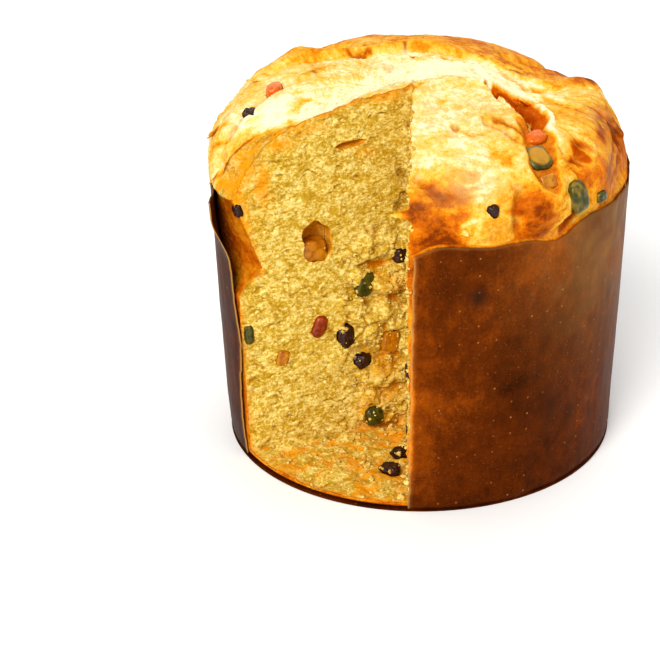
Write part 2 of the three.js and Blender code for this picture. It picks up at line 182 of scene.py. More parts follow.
def closedSkin(rings):
    # rings: (row, column, 3), each row a loop; the first and last rows close on their middle points
    rows, around = rings.shape[:2]
    points = np.vstack([rings.reshape(-1, 3), rings[0].mean(0), rings[-1].mean(0)])
    column, row = np.meshgrid(np.arange(around), np.arange(rows - 1))
    onward = (column + 1) % around
    quads = np.stack([row * around + column, row * around + onward,
                      (row + 1) * around + onward, (row + 1) * around + column], -1).reshape(-1, 4)
    column = np.arange(around)
    onward = (column + 1) % around
    last = (rows - 1) * around
    low = np.stack([0 * column + rows * around, onward, column], -1)
    high = np.stack([0 * column + rows * around + 1, last + column, last + onward], -1)
    return points, quads, np.vstack([low, high])


def gridFaces(rows, columns):
    i, j = np.meshgrid(np.arange(rows - 1), np.arange(columns - 1), indexing="ij")
    a = i * columns + j
    return np.stack([a, a + 1, a + columns + 1, a + columns], -1).reshape(-1, 4)


def closedSheet(front, back):
    # two grids of the same size face to face, joined by a wall round their rim
    rows, columns = front.shape[:2]
    points = np.vstack([front.reshape(-1, 3), back.reshape(-1, 3)])
    face, n, rim = gridFaces(rows, columns), rows * columns, rimLoop(rows, columns)
    step = np.roll(rim, -1)
    wall = np.stack([step, rim, rim + n, step + n], -1)
    return points, np.vstack([face, face[:, ::-1] + n, wall])


def closedTray(front, offset):  # a grid, its rim carried back by offset, and a fan across the back
    rows, columns = front.shape[:2]
    rim = rimLoop(rows, columns)
    grid = front.reshape(-1, 3)
    flat = offset(grid[rim])
    points = np.vstack([grid, flat, flat.mean(0)])
    step = np.roll(rim, -1)
    behind = rows * columns + np.arange(len(rim))
    behindStep = np.roll(behind, -1)
    wall = np.stack([step, rim, behind, behindStep], -1)
    fan = np.stack([behindStep, behind, 0 * behind + len(points) - 1], -1)
    return points, np.vstack([gridFaces(rows, columns), wall]), fan


def merged(shapes):  # many closed meshes as one: their points, and their faces numbered on from each other
    points, *faces = zip(*shapes)
    firsts = np.cumsum([0] + [len(p) for p in points])
    numbered = [np.vstack([f + first for f, first in zip(kind, firsts)]) for kind in faces]
    return [np.vstack(points)] + numbered


def rimLoop(rows, columns):  # the border of a grid, in the order of its faces' turning
    top = np.arange(columns)
    right = np.arange(1, rows) * columns + columns - 1
    bottom = (rows - 1) * columns + np.arange(columns - 2, -1, -1)
    left = np.arange(rows - 2, 0, -1) * columns
    return np.concatenate([top, right, bottom, left])


def join(piece, other, operation):  # one Boolean, applied
    step = piece.modifiers.new("join", "BOOLEAN")
    step.object = other
    step.operation = operation
    step.solver = "MANIFOLD"
    graph = bpy.context.evaluated_depsgraph_get()
    graph.update()
    mesh = bpy.data.meshes.new_from_object(piece.evaluated_get(graph))
    piece.modifiers.clear()
    old = piece.data
    piece.data = mesh
    bpy.data.meshes.remove(old)


def drop(piece):
    mesh = piece.data
    bpy.data.objects.remove(piece)
    bpy.data.meshes.remove(mesh)


# The crust is described on a flat map seen from above: an angle, and a distance from the crown
def onMap(angle, distance):
    return distance * np.cos(angle * degree), distance * np.sin(angle * degree)


def mapPath(stops, parts=6):  # smooth curve through its stops: each piece is a cubic through four of them
    stops = np.array([onMap(angle, distance) for angle, distance in stops])
    ends = np.vstack([2 * stops[0] - stops[1], stops, 2 * stops[-1] - stops[-2]])
    t = np.arange(parts)[None, :, None] / parts
    a, b, c, d = (ends[i:len(ends) - 3 + i, None] for i in range(4))
    curve = 2 * b + (c - a) * t + (2 * a - 5 * b + 4 * c - d) * t ** 2 + (3 * b - a - 3 * c + d) * t ** 3
    curve = 0.5 * curve
    return np.vstack([curve.reshape(-1, 2), stops[-1:]])


def nearPath(x, y, path):  # distance from a path, the side, and the share along it
    best = np.full(np.shape(x), 1e9)
    side = np.zeros(np.shape(x))
    along = np.zeros(np.shape(x))
    for i, (start, end) in enumerate(zip(path[:-1], path[1:])):
        dx, dy = end - start
        t = np.clip(((x - start[0]) * dx + (y - start[1]) * dy) / (dx * dx + dy * dy), 0, 1)
        offX, offY = x - start[0] - t * dx, y - start[1] - t * dy
        away = np.hypot(offX, offY)
        nearer = away < best
        best = np.where(nearer, away, best)
        side = np.where(nearer, np.sign(dx * offY - dy * offX), side)
        along = np.where(nearer, (i + t) / (len(path) - 1), along)
    return best, side, along


def fadeEnds(along, share):
    return smooth(0, share, along) * smooth(1, 1 - share, along)


# Lines of the dome, as the solids have them, each as angle and distance from the crown
backEdge = mapPath([(168, 78), (156, 68), (146, 58), (130, 46), (107, 42),
                    (74, 42), (48, 44), (24, 54), (13, 62), (4, 68)])
openedValley = mapPath([(212, 98), (204, 82), (203, 68), (202, 58), (190, 41),
                        (150, 16), (34, 22), (2, 46), (346, 60)])
frontRidge = mapPath([(266, 31), (286, 22), (330, 25), (339, 38)])
peelTear = mapPath([(341, 42), (332, 50), (328, 57), (324, 65), (320, 72)])
fruitPocket = mapPath([(318, 71), (308, 85)])
sideFold = mapPath([(20, 84), (6, 80), (352, 79), (334, 86), (324, 99)])
creases = [  # path, depth, width
    (mapPath([(300, 86), (297, 95), (297, 104)]), 4.0, 3.0),
    (mapPath([(300, 60), (306, 66), (309, 75)]), 3.0, 2.5),
    (mapPath([(268, 80), (271, 83), (276, 88), (287, 90)]), 2.5, 3.0),
    (mapPath([(172, 58), (179, 68), (188, 79), (194, 90), (200, 101)]), 2.5, 2.2),
    (mapPath([(97, 60), (88, 76), (93, 99)]), 4.0, 4.0),
    (mapPath([(45, 58), (38, 78), (44, 99)]), 4.5, 4.0),
    (mapPath([(128, 56), (133, 78), (126, 98)]), 4.5, 4.0),
]
bumps = [  # angle, distance, height, radius outward and across, as in all tables of blobs below
    (4, 62, -3.0, 8, 7), (321, 85, -5.0, 6, 3), (305, 93, 5.0, 12, 12), (278, 92, -4.0, 4.5, 9),
    (146, 70, 2.8, 6, 5), (350, 94, 1.0, 6, 6), (286, 62, -1.5, 2, 5), (70, 82, 2.0, 12, 16),
    (110, 80, 2.0, 12, 14), (90, 52, 1.6, 14, 18),
]


def blob(x, y, angle, distance, outward, across):  # bell on the map, one radius down the slope, one across
    cx, cy = onMap(angle, distance)
    c, s = np.cos(angle * degree), np.sin(angle * degree)
    u = (x - cx) * c + (y - cy) * s
    v = (y - cy) * c - (x - cx) * s
    return hump(u, outward) * hump(v, across)


def addBlobs(total, x, y, table):
    for angle, distance, amount, outward, across in table:
        total = total + amount * blob(x, y, angle, distance, outward, across)
    return total


def crustRelief(angle, share):  # height of the crust above the plain dome: the frame's own formula
    x, y = onMap(angle, share * loaf["mapRadius"])
    away, side, along = nearPath(x, y, backEdge)
    raised = between(4.4, 1.6, smooth(0.45, 0.75, along)) * fadeEnds(along, 0.12)
    relief = np.where(side > 0, raised * np.exp(-away / 30) * smooth(0, 2.5, away), 0)
    away, side, along = nearPath(x, y, openedValley)
    relief = relief - hump(away, 15) * 7 * (0.15 + 0.85 * hump(along - 0.28, 0.42))
    away, side, along = nearPath(x, y, frontRidge)
    relief = relief + 3 * hump(away, 11)
    away, side, along = nearPath(x, y, peelTear)
    width = 2 + 3.5 * np.sin(np.pi * along)
    relief = relief - 6 * smooth(width, width * 0.35, away)
    away, side, along = nearPath(x, y, fruitPocket)
    relief = relief - 3.5 * smooth(8, 3, away)
    away, side, along = nearPath(x, y, sideFold)
    relief = relief + (0.4 + 0.6 * fadeEnds(along, 0.18)) * (2.2 * hump(away, 14) + 1.6 * hump(away, 5))
    relief = relief - 2.6 * hump(x - 66, 26) * hump(y - 4, 40)
    for path, depth, width in creases:
        away, side, along = nearPath(x, y, path)
        relief = relief - depth * hump(away, width) * fadeEnds(along, 0.15)
    return addBlobs(relief, x, y, bumps) * smooth(1, 0.93, share)


def domeRadiusAt(angle):
    a = angle * degree
    return loaf["domeRadius"] - 1.8 * np.cos(a) + 0.8 * np.cos(2 * a + 0.6) + 0.5 * np.cos(3 * a + 1)


def crustPoint(angle, share, lift=0.0):
    # superellipse arc from the paper to the crown, pushed out along its own normal by relief and lift
    radius = domeRadiusAt(angle)
    slope = (1 - share) * np.pi / 2
    across, up = np.cos(slope), np.sin(slope)
    n = loaf["squareness"]
    reach = ((across / radius) ** n + (up / loaf["domeHeight"]) ** n) ** (-1 / n)
    normalR = (reach * across) ** (n - 1) / radius ** n
    normalZ = (reach * up) ** (n - 1) / loaf["domeHeight"] ** n
    size = np.hypot(normalR, normalZ)
    normalR, normalZ = normalR / size, normalZ / size
    away = crustRelief(angle, share) + lift
    height = loaf["springHeight"] + reach * up + normalZ * away
    return reach * across + normalR * away, height, normalR, normalZ


def shareAtHeight(angle, height):  # map share at which the plain dome has that height
    above = np.maximum(height - loaf["springHeight"], 0)
    n = loaf["squareness"]
    out = domeRadiusAt(angle) * (1 - (above / loaf["domeHeight"]) ** n) ** (1 / n)
    return 1 - np.arctan2(above, out) / (np.pi / 2)


def rounded(angle, radius, height):
    x, y = onMap(angle, radius)
    return np.stack(np.broadcast_arrays(x, y, height), -1)


# The paper case and the bread inside it
def paperRadiusAt(height):
    return caseRadius + loaf["caseFlare"] * height / loaf["caseHeight"]


def paperTopAt(angle):
    a = angle * degree
    return (loaf["caseHeight"] + 0.4 + 0.8 * np.sin(7 * a) + 0.5 * np.sin(17 * a + 1)
            - 3.2 * hump(turnFrom(angle, 308), 7) - 3.5 * hump(turnFrom(angle, 267), 4))


def paperFlareAt(angle, height):
    return (7 * hump(turnFrom(angle, 208), 7) * smooth(88, 110, height)
            + 0.8 * hump(turnFrom(angle, 195), 28) * smooth(0, 20, height))


def breadRadiusAt(height):
    return paperRadiusAt(height) - paperThickness - loaf["gap"]


def shrunkAt(angle, height):  # how far the crust has drawn away from the paper, left of the notch
    return (11 * hump(turnFrom(angle, 209), 10) * smooth(76, 84, height)
            * np.clip((119 - height) / 35, 0, 1))


# Colour fields of the crust: how brown it is, how much painted shade it has in a crease, and how bare of crust
browningBlobs = [
    (302, 96, 0.62, 10, 12), (274, 99, 0.62, 10, 14), (268, 91, 0.4, 7, 8), (282, 50, -0.12, 16, 16),
    (292, 90, 0.2, 5, 8), (288, 73, -0.12, 8, 14), (306, 66, 0.1, 8, 9), (299, 76, 0.2, 5, 5),
    (350, 88, 0.5, 14, 22), (330, 98, 0.4, 9, 10), (345, 72, 0.08, 10, 16), (336, 72, 0.2, 10, 10),
    (316, 84, 0.22, 9, 9), (20, 82, 0.2, 14, 24), (146, 69, 0.08, 9, 8), (122, 58, -0.14, 12, 24),
    (215, 68, 0.2, 7, 4), (190, 95, 0.1, 8, 16), (176, 84, 0.2, 12, 10), (182, 96, -0.1, 7, 7),
    (250, 38, 0.1, 5, 12), (310, 71, 0.14, 5, 6), (190, 72, -0.25, 13, 14), (60, 25, -0.15, 22, 40),
    (162, 59, 0.12, 5, 12), (204, 60, -0.1, 9, 9), (282, 93, 0.4, 2.6, 5), (203, 88, 0.55, 14, 8),
    (213, 70, 0.3, 4, 6), (322, 92, 0.3, 7, 8), (208, 99, 0.2, 8, 5), (303, 104, 0.12, 5, 9),
    (277, 83, 0.26, 5, 9), (274, 98, 0.1, 7, 9), (298, 97, 0.14, 6, 8), (331, 90, 0.22, 9, 13),
    (345, 93, 0.12, 8, 12), (76, 40, 0.16, 8, 22), (196, 83, 0.16, 6, 8), (35, 46, -0.14, 8, 12),
    (14, 66, -0.14, 6, 9), (136, 50, -0.08, 5, 9),
]
tanBlobs = [  # dull brown dough
    (283, 85, 1.0, 6, 15), (346, 80, 0.9, 5, 14), (333, 91, 0.6, 9, 12), (308, 104, 0.4, 4, 9),
    (300, 60, 0.25, 8, 10),
]
# small pits, darkened with painted shade
smallPits = [
    (166, 58, 0.9, 1.6, 1.6), (102, 43, 0.9, 1.4, 1.4), (254, 31, 0.9, 3.0, 3.0), (72, 63, 0.9, 1.3, 1.3),
    (133, 64, 0.9, 1.2, 1.2),
]
swells = [  # soft humps and dents of the skin, in millimetres
    (26, 64, -3.2, 13, 16), (17, 79, 3.2, 7, 8), (196, 68, 1.3, 6, 9), (190, 58, 1.0, 5, 8),
    (205, 55, 1.2, 7, 6), (186, 84, 0.9, 5, 7), (160, 66, 1.0, 5, 9), (296, 84, 0.8, 5, 9),
    (280, 78, 0.7, 5, 10), (272, 95, 0.9, 4, 6), (302, 97, 0.8, 5, 7), (336, 78, 0.8, 6, 6),
    (345, 66, -0.8, 5, 8), (175, 95, 0.9, 5, 6), (240, 52, 0.6, 6, 10),
]
marks = [  # lines on the crust: stops on the map, then browning, painted crease shade, relief in millimetres, width
    ([(305, 61.5), (307, 61.5), (309, 64), (311, 68), (311.5, 71)], 0.3, 0.75, -1.4, 1.3),
    ([(284.5, 60), (287, 60.5), (289, 60)], 0.3, 0.7, -1.1, 1.3),
    ([(288, 65), (293, 66.5), (298, 68)], 0.25, 0.2, -0.5, 0.9),
    ([(268, 81), (274, 85), (278, 87.5), (287, 90)], 0.3, 0.35, -0.6, 1.2),
    ([(140, 54), (134, 49), (126, 46)], 0.3, 0.9, -0.7, 0.7),
    ([(251, 33), (258, 34), (265, 35)], 0.3, 0.95, -1.2, 1.1),
    ([(262, 28), (268, 28), (278, 22)], 0.35, 0.1, -0.4, 1.6),
    ([(190, 58), (195, 63), (200, 67)], 0.55, 0.0, -0.7, 2.0),
    ([(199, 68), (207, 68), (213, 67)], 0.5, 0.0, -0.4, 2.6),
    ([(353, 74), (348, 80), (340, 82), (332, 86)], 0.35, 0.35, -0.5, 1.6),
    ([(350, 86), (342, 88), (335, 91), (328, 94)], 0.2, 0.3, -0.6, 1.1),
    ([(346, 92), (338, 94), (330, 97)], 0.2, 0.2, -0.6, 1.2),
    ([(358, 51), (349, 55), (337, 62), (327, 69)], -0.5, 0.0, 1.0, 1.1),
    ([(306, 105), (309, 101), (314, 98)], -0.3, 0.0, 0.9, 0.8),
    ([(309, 105), (313, 102), (318, 99)], 0.3, 0.95, -2.8, 1.7),
    ([(282, 46), (292, 39)], 0.3, 0.0, -0.4, 2.0),
    ([(281, 53), (288, 56)], 0.22, 0.0, -0.3, 1.6),
    ([(296, 70), (296, 76), (300, 80)], 0.3, 0.0, -0.4, 2.2),
    ([(280, 97.5), (282, 96.2), (286, 94.5)], -0.35, 0.0, 1.1, 0.8),
    ([(291, 96), (296, 97), (299, 99)], -0.35, 0.0, 0.6, 1.0),
    ([(171, 62), (166, 58), (160, 56), (150, 50)], 0.25, 0.1, 0.6, 1.6),
    ([(180, 60), (172, 50), (168, 42), (160, 36)], 0.22, 0.0, 0.5, 1.8),
    ([(120, 36), (95, 31), (70, 33), (45, 40)], 0.12, 0.0, 0.9, 2.0),
    ([(30, 50), (10, 56), (358, 58)], 0.3, 0.2, -0.8, 1.6),
    ([(196, 86), (190, 92), (186, 100)], 0.25, 0.0, -0.8, 1.4),
    ([(190, 82), (184, 90), (180, 99)], 0.2, 0.1, -0.7, 1.2),
    ([(203, 92), (198, 98), (195, 103)], 0.3, 0.0, -0.7, 1.4),
    ([(200, 101), (201, 90), (202, 80), (206, 73), (217, 70), (225, 65)], 0.18, 0.0, 0.6, 1.3),
    ([(352, 80), (350, 84), (348, 91)], 0.1, 0.0, 2.2, 1.8),
    ([(351, 82), (346, 86), (344, 93)], 0.2, 0.5, -1.2, 1.2),
    ([(346, 98), (343, 101), (338, 103)], 0.1, 0.0, 1.6, 1.5),
    ([(3, 61), (10, 62.5)], 0.65, 0.25, -2.0, 2.2),
    ([(329, 80), (325, 83.4), (322, 86.5)], 0.6, 0.85, -2.6, 2.0),
    ([(331, 83), (327, 87), (324, 90)], -0.25, 0.0, 1.3, 0.9),
    ([(352, 62), (347, 70), (344, 78)], 0.3, 0.0, -0.4, 1.6),
]
marks = [(mapPath(stops), *rest) for stops, *rest in marks]
doughRim = mapPath([(198, 102), (200, 98), (201, 89), (200.5, 80),
                    (204, 73), (211, 71), (218, 70), (224, 66)])
tearMouth = mapPath([(337, 41.5), (341.5, 49), (337, 57.5), (330, 65), (323, 71)])


crustTones = {  # browning of the plain dome, and what each region adds to it
    "plain": 0.26, "behindBack": 0.36, "farBack": 0.12, "valley": -0.22, "rim": 0.2,
    "tearLip": -0.5, "doughRim": 0.4, "patch": 0.2,
}
crustHeights = {  # fine relief in millimetres
    "tear": -2.2, "tearLip": 1.5, "bareDough": -0.5, "pits": -0.5, "pores": -0.7, "rolling": 0.6,
    "fibres": 0.4, "steps": 0.45, "fluff": 0.35,    # on the opened crust
    "blisters": 0.28, "faintFibres": 0.2,           # where it is browned
}


def strongest(total, x, y, table):  # the highest of the blobs at each place
    for angle, distance, amount, outward, across in table:
        total = np.maximum(total, amount * blob(x, y, angle, distance, outward, across))
    return total


def crustSkin(angle, share):
    # colour fields and fine relief of the crust. Fibres are drawn along the opened crust, with small torn
    # steps; blisters come up where it is browned; the marks press lines and ridges into both
    tones, tall = crustTones, crustHeights
    distance = share * loaf["mapRadius"]
    x, y = onMap(angle, distance)
    ragged = 2.2 * noise(x / 7, y / 7, 1) + 1.1 * noise(x / 2.4, y / 2.4, 2)
    away, side, along = nearPath(x, y, backEdge)
    outward = side * away + ragged
    openEnds = smooth(0, 0.2, along + 0.02 * ragged) * smooth(1, 0.93, along)
    skin = smooth(-1.5, 2.5, outward) * openEnds
    browning = tones["plain"] + tones["behindBack"] * skin
    browning = browning + tones["farBack"] * smooth(10, 40, outward) * openEnds
    browning = browning + tones["valley"] * hump(nearPath(x, y, openedValley)[0], 17)
    browning = browning + tones["rim"] * smooth(0.9, 0.99, share) * (0.7 + 0.5 * noise(x / 8, y / 8, 4))
    browning = addBlobs(browning, x, y, browningBlobs)
    crease, warm, grain = 0.0, 0.0, 0.0
    # painted shade along the creases of the dome
    for path, depth, width in creases:
        away, side, along = nearPath(x, y, path)
        near = hump(away, 0.55 * width) * fadeEnds(along, 0.2) * min(depth / 4, 1)
        crease = np.maximum(crease, 0.7 * near)

    # the tear: a warm mouth with painted shadow along one side, and a pale rolled lip along the other
    away, side, along = nearPath(x + 0.4 * ragged, y - 0.3 * ragged, tearMouth)
    width = 1.2 + 2.8 * np.sin(np.pi * along)
    inside = smooth(width * 1.06, width * 0.92, away)
    shadow = smooth(-0.2, 0.9, -side * away / width)
    crease, warm = np.maximum(crease, inside ** 2 * (0.25 + 0.75 * shadow)), np.maximum(warm, inside)
    lip = away - width * 1.35
    grain = grain + tall["tear"] * inside + tall["tearLip"] * hump(lip, 1.1) * (side > 0)
    browning = browning + tones["tearLip"] * hump(lip, 1.2) * (side > 0)

    # bare dough past the rim on the left, and the pocket that holds the fruit on the right, with painted shade
    # in the pocket and in its pit
    away, side, along = nearPath(x, y, doughRim)
    past = smooth(-0.5, 0.7, -side * away + 0.35 * ragged)
    past = past * smooth(0, 0.04, along) * smooth(1, 0.9, along) * smooth(26, 20, away)
    browning = browning + tones["doughRim"] * hump(away, 1.1) * fadeEnds(along, 0.1)
    grain = grain + tall["bareDough"] * past
    away, side, along = nearPath(x, y, fruitPocket)
    crease = np.maximum(crease, 0.35 * smooth(8, 4, away))
    warm = np.maximum(warm, 0.8 * smooth(7.5, 6, away + 0.5 * ragged))
    pit = blob(x, y, 325, 83.5, 5, 2.6)
    crease, warm = np.maximum(crease, 0.8 * pit), np.maximum(warm, smooth(0.2, 0.6, pit))
    crease = strongest(crease, x, y, smallPits)

    shakeX, shakeY = 0.6 * noise(x / 2.5, y / 2.5, 41), 0.6 * noise(x / 2.5, y / 2.5, 42)
    for path, brown, deep, lift, width in marks:
        away, side, along = nearPath(x + shakeX, y + shakeY, path)
        near = hump(away, width) * fadeEnds(along, 0.2)
        browning = browning + brown * near
        crease = np.maximum(crease, deep * near)
        grain = grain + lift * near

    # open pits beside the tear, with a little painted shade in them, and a torn patch at the front with
    # clotted dough in it
    pits = smooth(0.4, 0.6, noise(x / 1.9, y / 1.9, 21)) * smooth(0.2, 0.6, blob(x, y, 341, 73, 16, 17))
    crease, warm = np.maximum(crease, 0.2 * pits), np.maximum(warm, 0.45 * pits)
    grain = grain + tall["pits"] * pits
    patch = smooth(0.35, 0.7, blob(x, y, 291, 99.5, 5.5, 9.5) + 0.2 * noise(x / 2, y / 2, 6))
    browning = browning + tones["patch"] * patch
    bare = np.maximum(0.8 * patch, past)
    mottled = past * (0.68 + 0.9 * layered(x / 5, y / 5, 7))
    warm = np.clip(np.maximum(warm, np.maximum(0.7 * patch, mottled)), 0, 1)
    pore = np.clip(0.3 + 1.6 * layered(x / 2.6, y / 2.6, 19), 0, 1) * bare
    grain = grain + tall["pores"] * pore

    # fibres run round the opened crust, and down the slope where it falls over the sides
    bend = 3 * noise(x / 11, y / 11, 11)
    arc = distance * turnFrom(angle, 0) * degree
    falls = smooth(315, 330, angle % 360) + smooth(215, 200, angle % 360) * smooth(100, 150, angle % 360)
    falls = np.clip(falls, 0, 1)
    level = noise(arc / 13, (distance + bend) / 1.7, 12)
    fibres = between(level, noise((arc + bend) / 1.7, distance / 13, 13), falls)
    opened = (1 - skin) * smooth(0.8, 0.5, browning)
    steps = (3.2 * layered(x / 6, y / 6, 14)) % 1
    blister = layered(x / 4.5, y / 4.5, 15, octaves=2)
    fluff = layered(x / 2.6, y / 2.6, 18, octaves=2)
    grain = grain + opened * (tall["fibres"] * fibres + tall["steps"] * (steps - 0.5) + tall["fluff"] * fluff)
    grain = grain + (1 - opened) * (tall["blisters"] * blister + tall["faintFibres"] * fibres)
    grain = grain + tall["rolling"] * layered(x / 10, y / 10, 16)
    grain = addBlobs(grain, x, y, swells) * smooth(1, 0.95, share) * (1 - 0.4 * crease)
    return grain, {
        "browning": browning, "crease": crease, "bare": bare, "tan": strongest(0.0, x, y, tanBlobs),
        "warm": warm, "pore": pore, "strand": 0.5 + 0.5 * fibres, "band": (distance + bend) * mm,
        "falls": falls}


# The two cut faces and the floor of the notch
def direction(turn):
    return np.array([np.cos(turn * degree), np.sin(turn * degree)])


tip = np.array(loaf["tip"])
cuts = {}  # each face's direction from the tip, and the side that its crumb looks to
for side, turn, sign in (("left", loaf["leftTurn"], 1), ("right", loaf["rightTurn"], -1)):
    line = direction(turn)
    cuts[side] = {"along": line, "out": sign * np.array([-line[1], line[0]])}


def depthInside(x, y, z):  # millimetres below the loaf's outer surface
    angle = np.degrees(np.arctan2(y, x))
    radius = np.hypot(x, y)
    side = breadRadiusAt(z) - shrunkAt(angle, z) - radius
    above = np.maximum(z - loaf["springHeight"], 0.01)
    share = 1 - np.arctan2(above, radius) / (np.pi / 2)
    surfaceR, surfaceZ, normalR, normalZ = crustPoint(angle, share)
    dome = (surfaceR - radius) * normalR + (surfaceZ - z) * normalZ
    return np.where(z > paperTopAt(angle) + 0.4, dome, side)


tornLumps = [  # left cut face near its inner end: distance from the tip, height, the two radii, lift
    (9.5, 72, 7, 5, 3.0), (10, 58.5, 6, 3, 2.2), (22, 59, 5, 4, 1.2), (18, 49, 4, 3.5, 1.2),
    (3.5, 42, 3.5, 5, 1.2), (13, 29, 7, 5, 1.6), (12, 15, 8, 3.5, 1.6), (12, 89, 12, 3, 1.3),
    (30, 62, 5, 4, 1.0), (33, 40, 5, 5, 1.0), (14, 79.5, 7, 2.0, -3.2), (6, 64, 7, 1.6, -3.0),
    (4, 104, 3, 6, -2.0), (14, 53, 6, 1.5, -1.8), (8, 37, 5, 1.6, -1.6), (12, 22, 8, 1.2, -1.8),
    (9, 4, 8, 2.0, -2.0), (28, 56, 1.5, 6, -1.4), (4, 118, 2.5, 4, -1.5),
]
crumbHeights = {"fibres": 0.16, "fine": 0.16, "rolling": 0.4, "chunks": 2.8, "clefts": 2.0}  # millimetres
leastTorn = 0.12            # how torn the crumb is at least
crumbCells = [  # width, height, depth, value above which a cell is open, seed step
    (6.6, 2.2, 0.8, 0.3, 11), (3.2, 1.3, 0.5, 0.1, 12), (1.5, 1.0, 0.25, -0.3, 13),
]


def crumbRelief(u, v, torn, seed, lumps=()):
    # the cut crumb: open cells of three sizes in a fibrous face, and thrown-up chunks where it is torn
    wu, wv = (w + 1.5 * noise(u / 4, v / 4, k, seed) + 0.7 * noise(u / 1.7, v / 1.7, k + 1, seed)
              for w, k in ((u, 1), (v, 3)))
    heights = crumbHeights
    relief = pores = 0.0
    for wide, tall, depth, least, step in crumbCells:
        near, value = cells(wu / wide, wv / tall, seed + step)
        hole = smooth(0.5, 0.0, near) * smooth(least, least + 0.7, value)
        pores = np.maximum(pores, 1.2 * hole * depth)
        relief = relief - depth * hole
    strands = ridged(wu / 3.6 + 0.3 * v / 5, wv / 1.7, 5, seed)
    relief = relief + heights["fibres"] * (strands - 0.6) + heights["rolling"] * layered(u / 9, v / 9, 6, seed)
    relief = relief + heights["fine"] * layered(wu / 1.3, wv / 0.9, 9, seed, 2)
    chunks = layered(wu / 6, wv / 5, 7, seed)
    cleft = smooth(0.74, 0.95, ridged(wu / 8, wv / 6, 8, seed, 2))
    relief = relief + torn * (heights["chunks"] * chunks - heights["clefts"] * cleft)
    # pores also carries painted shade for the crumb's colour: most in the open cells, clefts and dents, less
    # on the chunks, strands and raised lumps
    pores = pores + torn * (1.0 * cleft - 0.9 * chunks) - 0.25 * (strands - 0.6)
    for along, height, wide, tall, lift in lumps:
        part = hump(wu - along, wide) * hump(wv - height, tall)
        relief = relief + lift * part
        pores = pores - 0.35 * np.sign(lift) * part * (1 if lift > 0 else 3)
    return relief, np.clip(pores, 0, 1.5), strands


def tornShare(side, along, height):  # how torn the crumb is: mostly near the tip, away from crust and floor
    start = smooth(0, 5, along)
    if side == "left":
        return (smooth(36, 22, along + 0.18 * np.abs(height - 55)) * smooth(3, 10, height)
                * smooth(104, 86, height) * start + leastTorn)
    return smooth(6, 30, height) * smooth(140, 110, height) * 0.6 * start + leastTorn


# The bread, in a crust piece and thin facings for the cut crumb
crumbLook = {
    "around": 620, "domeRows": 156, "sideRows": 12,
    "recess": 6.0,          # thickness of the facings on the cut faces
    "leftStep": 0.4, "rightStep": 0.56, "floorStep": 0.55,
    # the facings' grids run past the loaf, which trims them: from the tip and up, and over the floor
    "along": (-8, 97), "height": (0.4, 160), "floorX": (-86, 6), "floorY": (-88, -4),
    "floorLeast": 2.2, "floorBack": 0.4,   # lowest crumb of the floor, and the plane behind its facing
    "past": 150, "below": -5, "above": 190,  # the notch's prism, well outside the loaf
}
leastShare = 0.004          # the map's share at the crown, where the skin closes
fields = ("cut", "browning", "crease", "bare", "tan", "pore", "strand", "edge", "warm", "band", "falls")


def allFields(count, **given):  # every bread piece carries the same named values
    return {key: np.broadcast_to(np.asarray(given.get(key, 0.0), float), (count,)).copy() for key in fields}


def sideColours(height):  # the crust behind the paper
    given = {"browning": 0.74, "strand": 0.5, "band": height * mm, "falls": 0.5}
    keys = ("browning", "crease", "bare", "tan", "warm", "pore", "strand", "band", "falls")
    return {key: given.get(key, 0.0) + 0 * height for key in keys}


def wholeLoaf():
    around, dome = crumbLook["around"], crumbLook["domeRows"]
    angle = np.arange(around) * 360 / around
    top = paperTopAt(angle)
    rings = []
    for part in (0.5, 0.985):
        rings.append(rounded(angle, part * breadRadiusAt(0), breadBottom))
    for part in np.append(np.linspace(0.012, 1, crumbLook["sideRows"]), 1.0):
        height = between(breadBottom, top, part)
        shrunk = shrunkAt(angle, height)
        fold = 0.13 * shrunk * (ridged(angle / 5 + height / 40, height / 30, 3, 61, 2) - 0.5)
        rings.append(rounded(angle, breadRadiusAt(height) - shrunk + fold, height))
    rings[-1][:, 2] += loaf["gap"]
    foot = top + 2 * loaf["gap"]
    share = shareAtHeight(angle, foot)[None] * np.linspace(1, leastShare, dome)[:, None]
    turned = np.broadcast_to(angle, share.shape)
    grain, colours = crustSkin(turned, share)
    radius, height, *_ = crustPoint(turned, share, grain)
    rings = np.array(rings)
    skin = rounded(turned, radius, np.maximum(height, foot))
    points, quads, triangles = closedSkin(np.concatenate([rings, skin]))
    under = sideColours(rings[..., 2].ravel())
    values = {key: np.concatenate([under[key], np.broadcast_to(array, share.shape).ravel(), [0.5, 0.5]])
              for key, array in colours.items()}
    values = allFields(len(points), **values)
    return newPiece("wholeLoaf", points, quads, triangles, values)


warmPatches = {  # orange-yellow dough: distance from the tip, height, radii, amount, and how far it wanders
    "left": [
        (63, 122, 3, 9, 0.9, 2), (57, 138, 7, 3.5, 0.8, 2), (70, 131, 6, 7, 0.9, 2), (75, 119, 6, 10, 1.0, 2),
        (74, 108, 4, 7, 0.85, 2), (70, 101, 3, 5, 0.6, 2), (12, 152, 7, 3, 0.8, 2), (44, 142, 9, 3, 0.45, 2),
        (20, 129.5, 4, 2.2, 0.4, 2), (9, 70, 6, 4, 0.4, 2), (12, 32, 7, 5, 0.45, 2), (9, 19, 8, 4, 0.45, 2),
        (14, 3, 14, 5, 0.8, 2), (20, 10, 5, 12, 0.5, 2), (66, 134, 3, 5, 0.6, 2),
    ],
    "right": [(69, 127, 7, 6, 1.6, 0)],
}


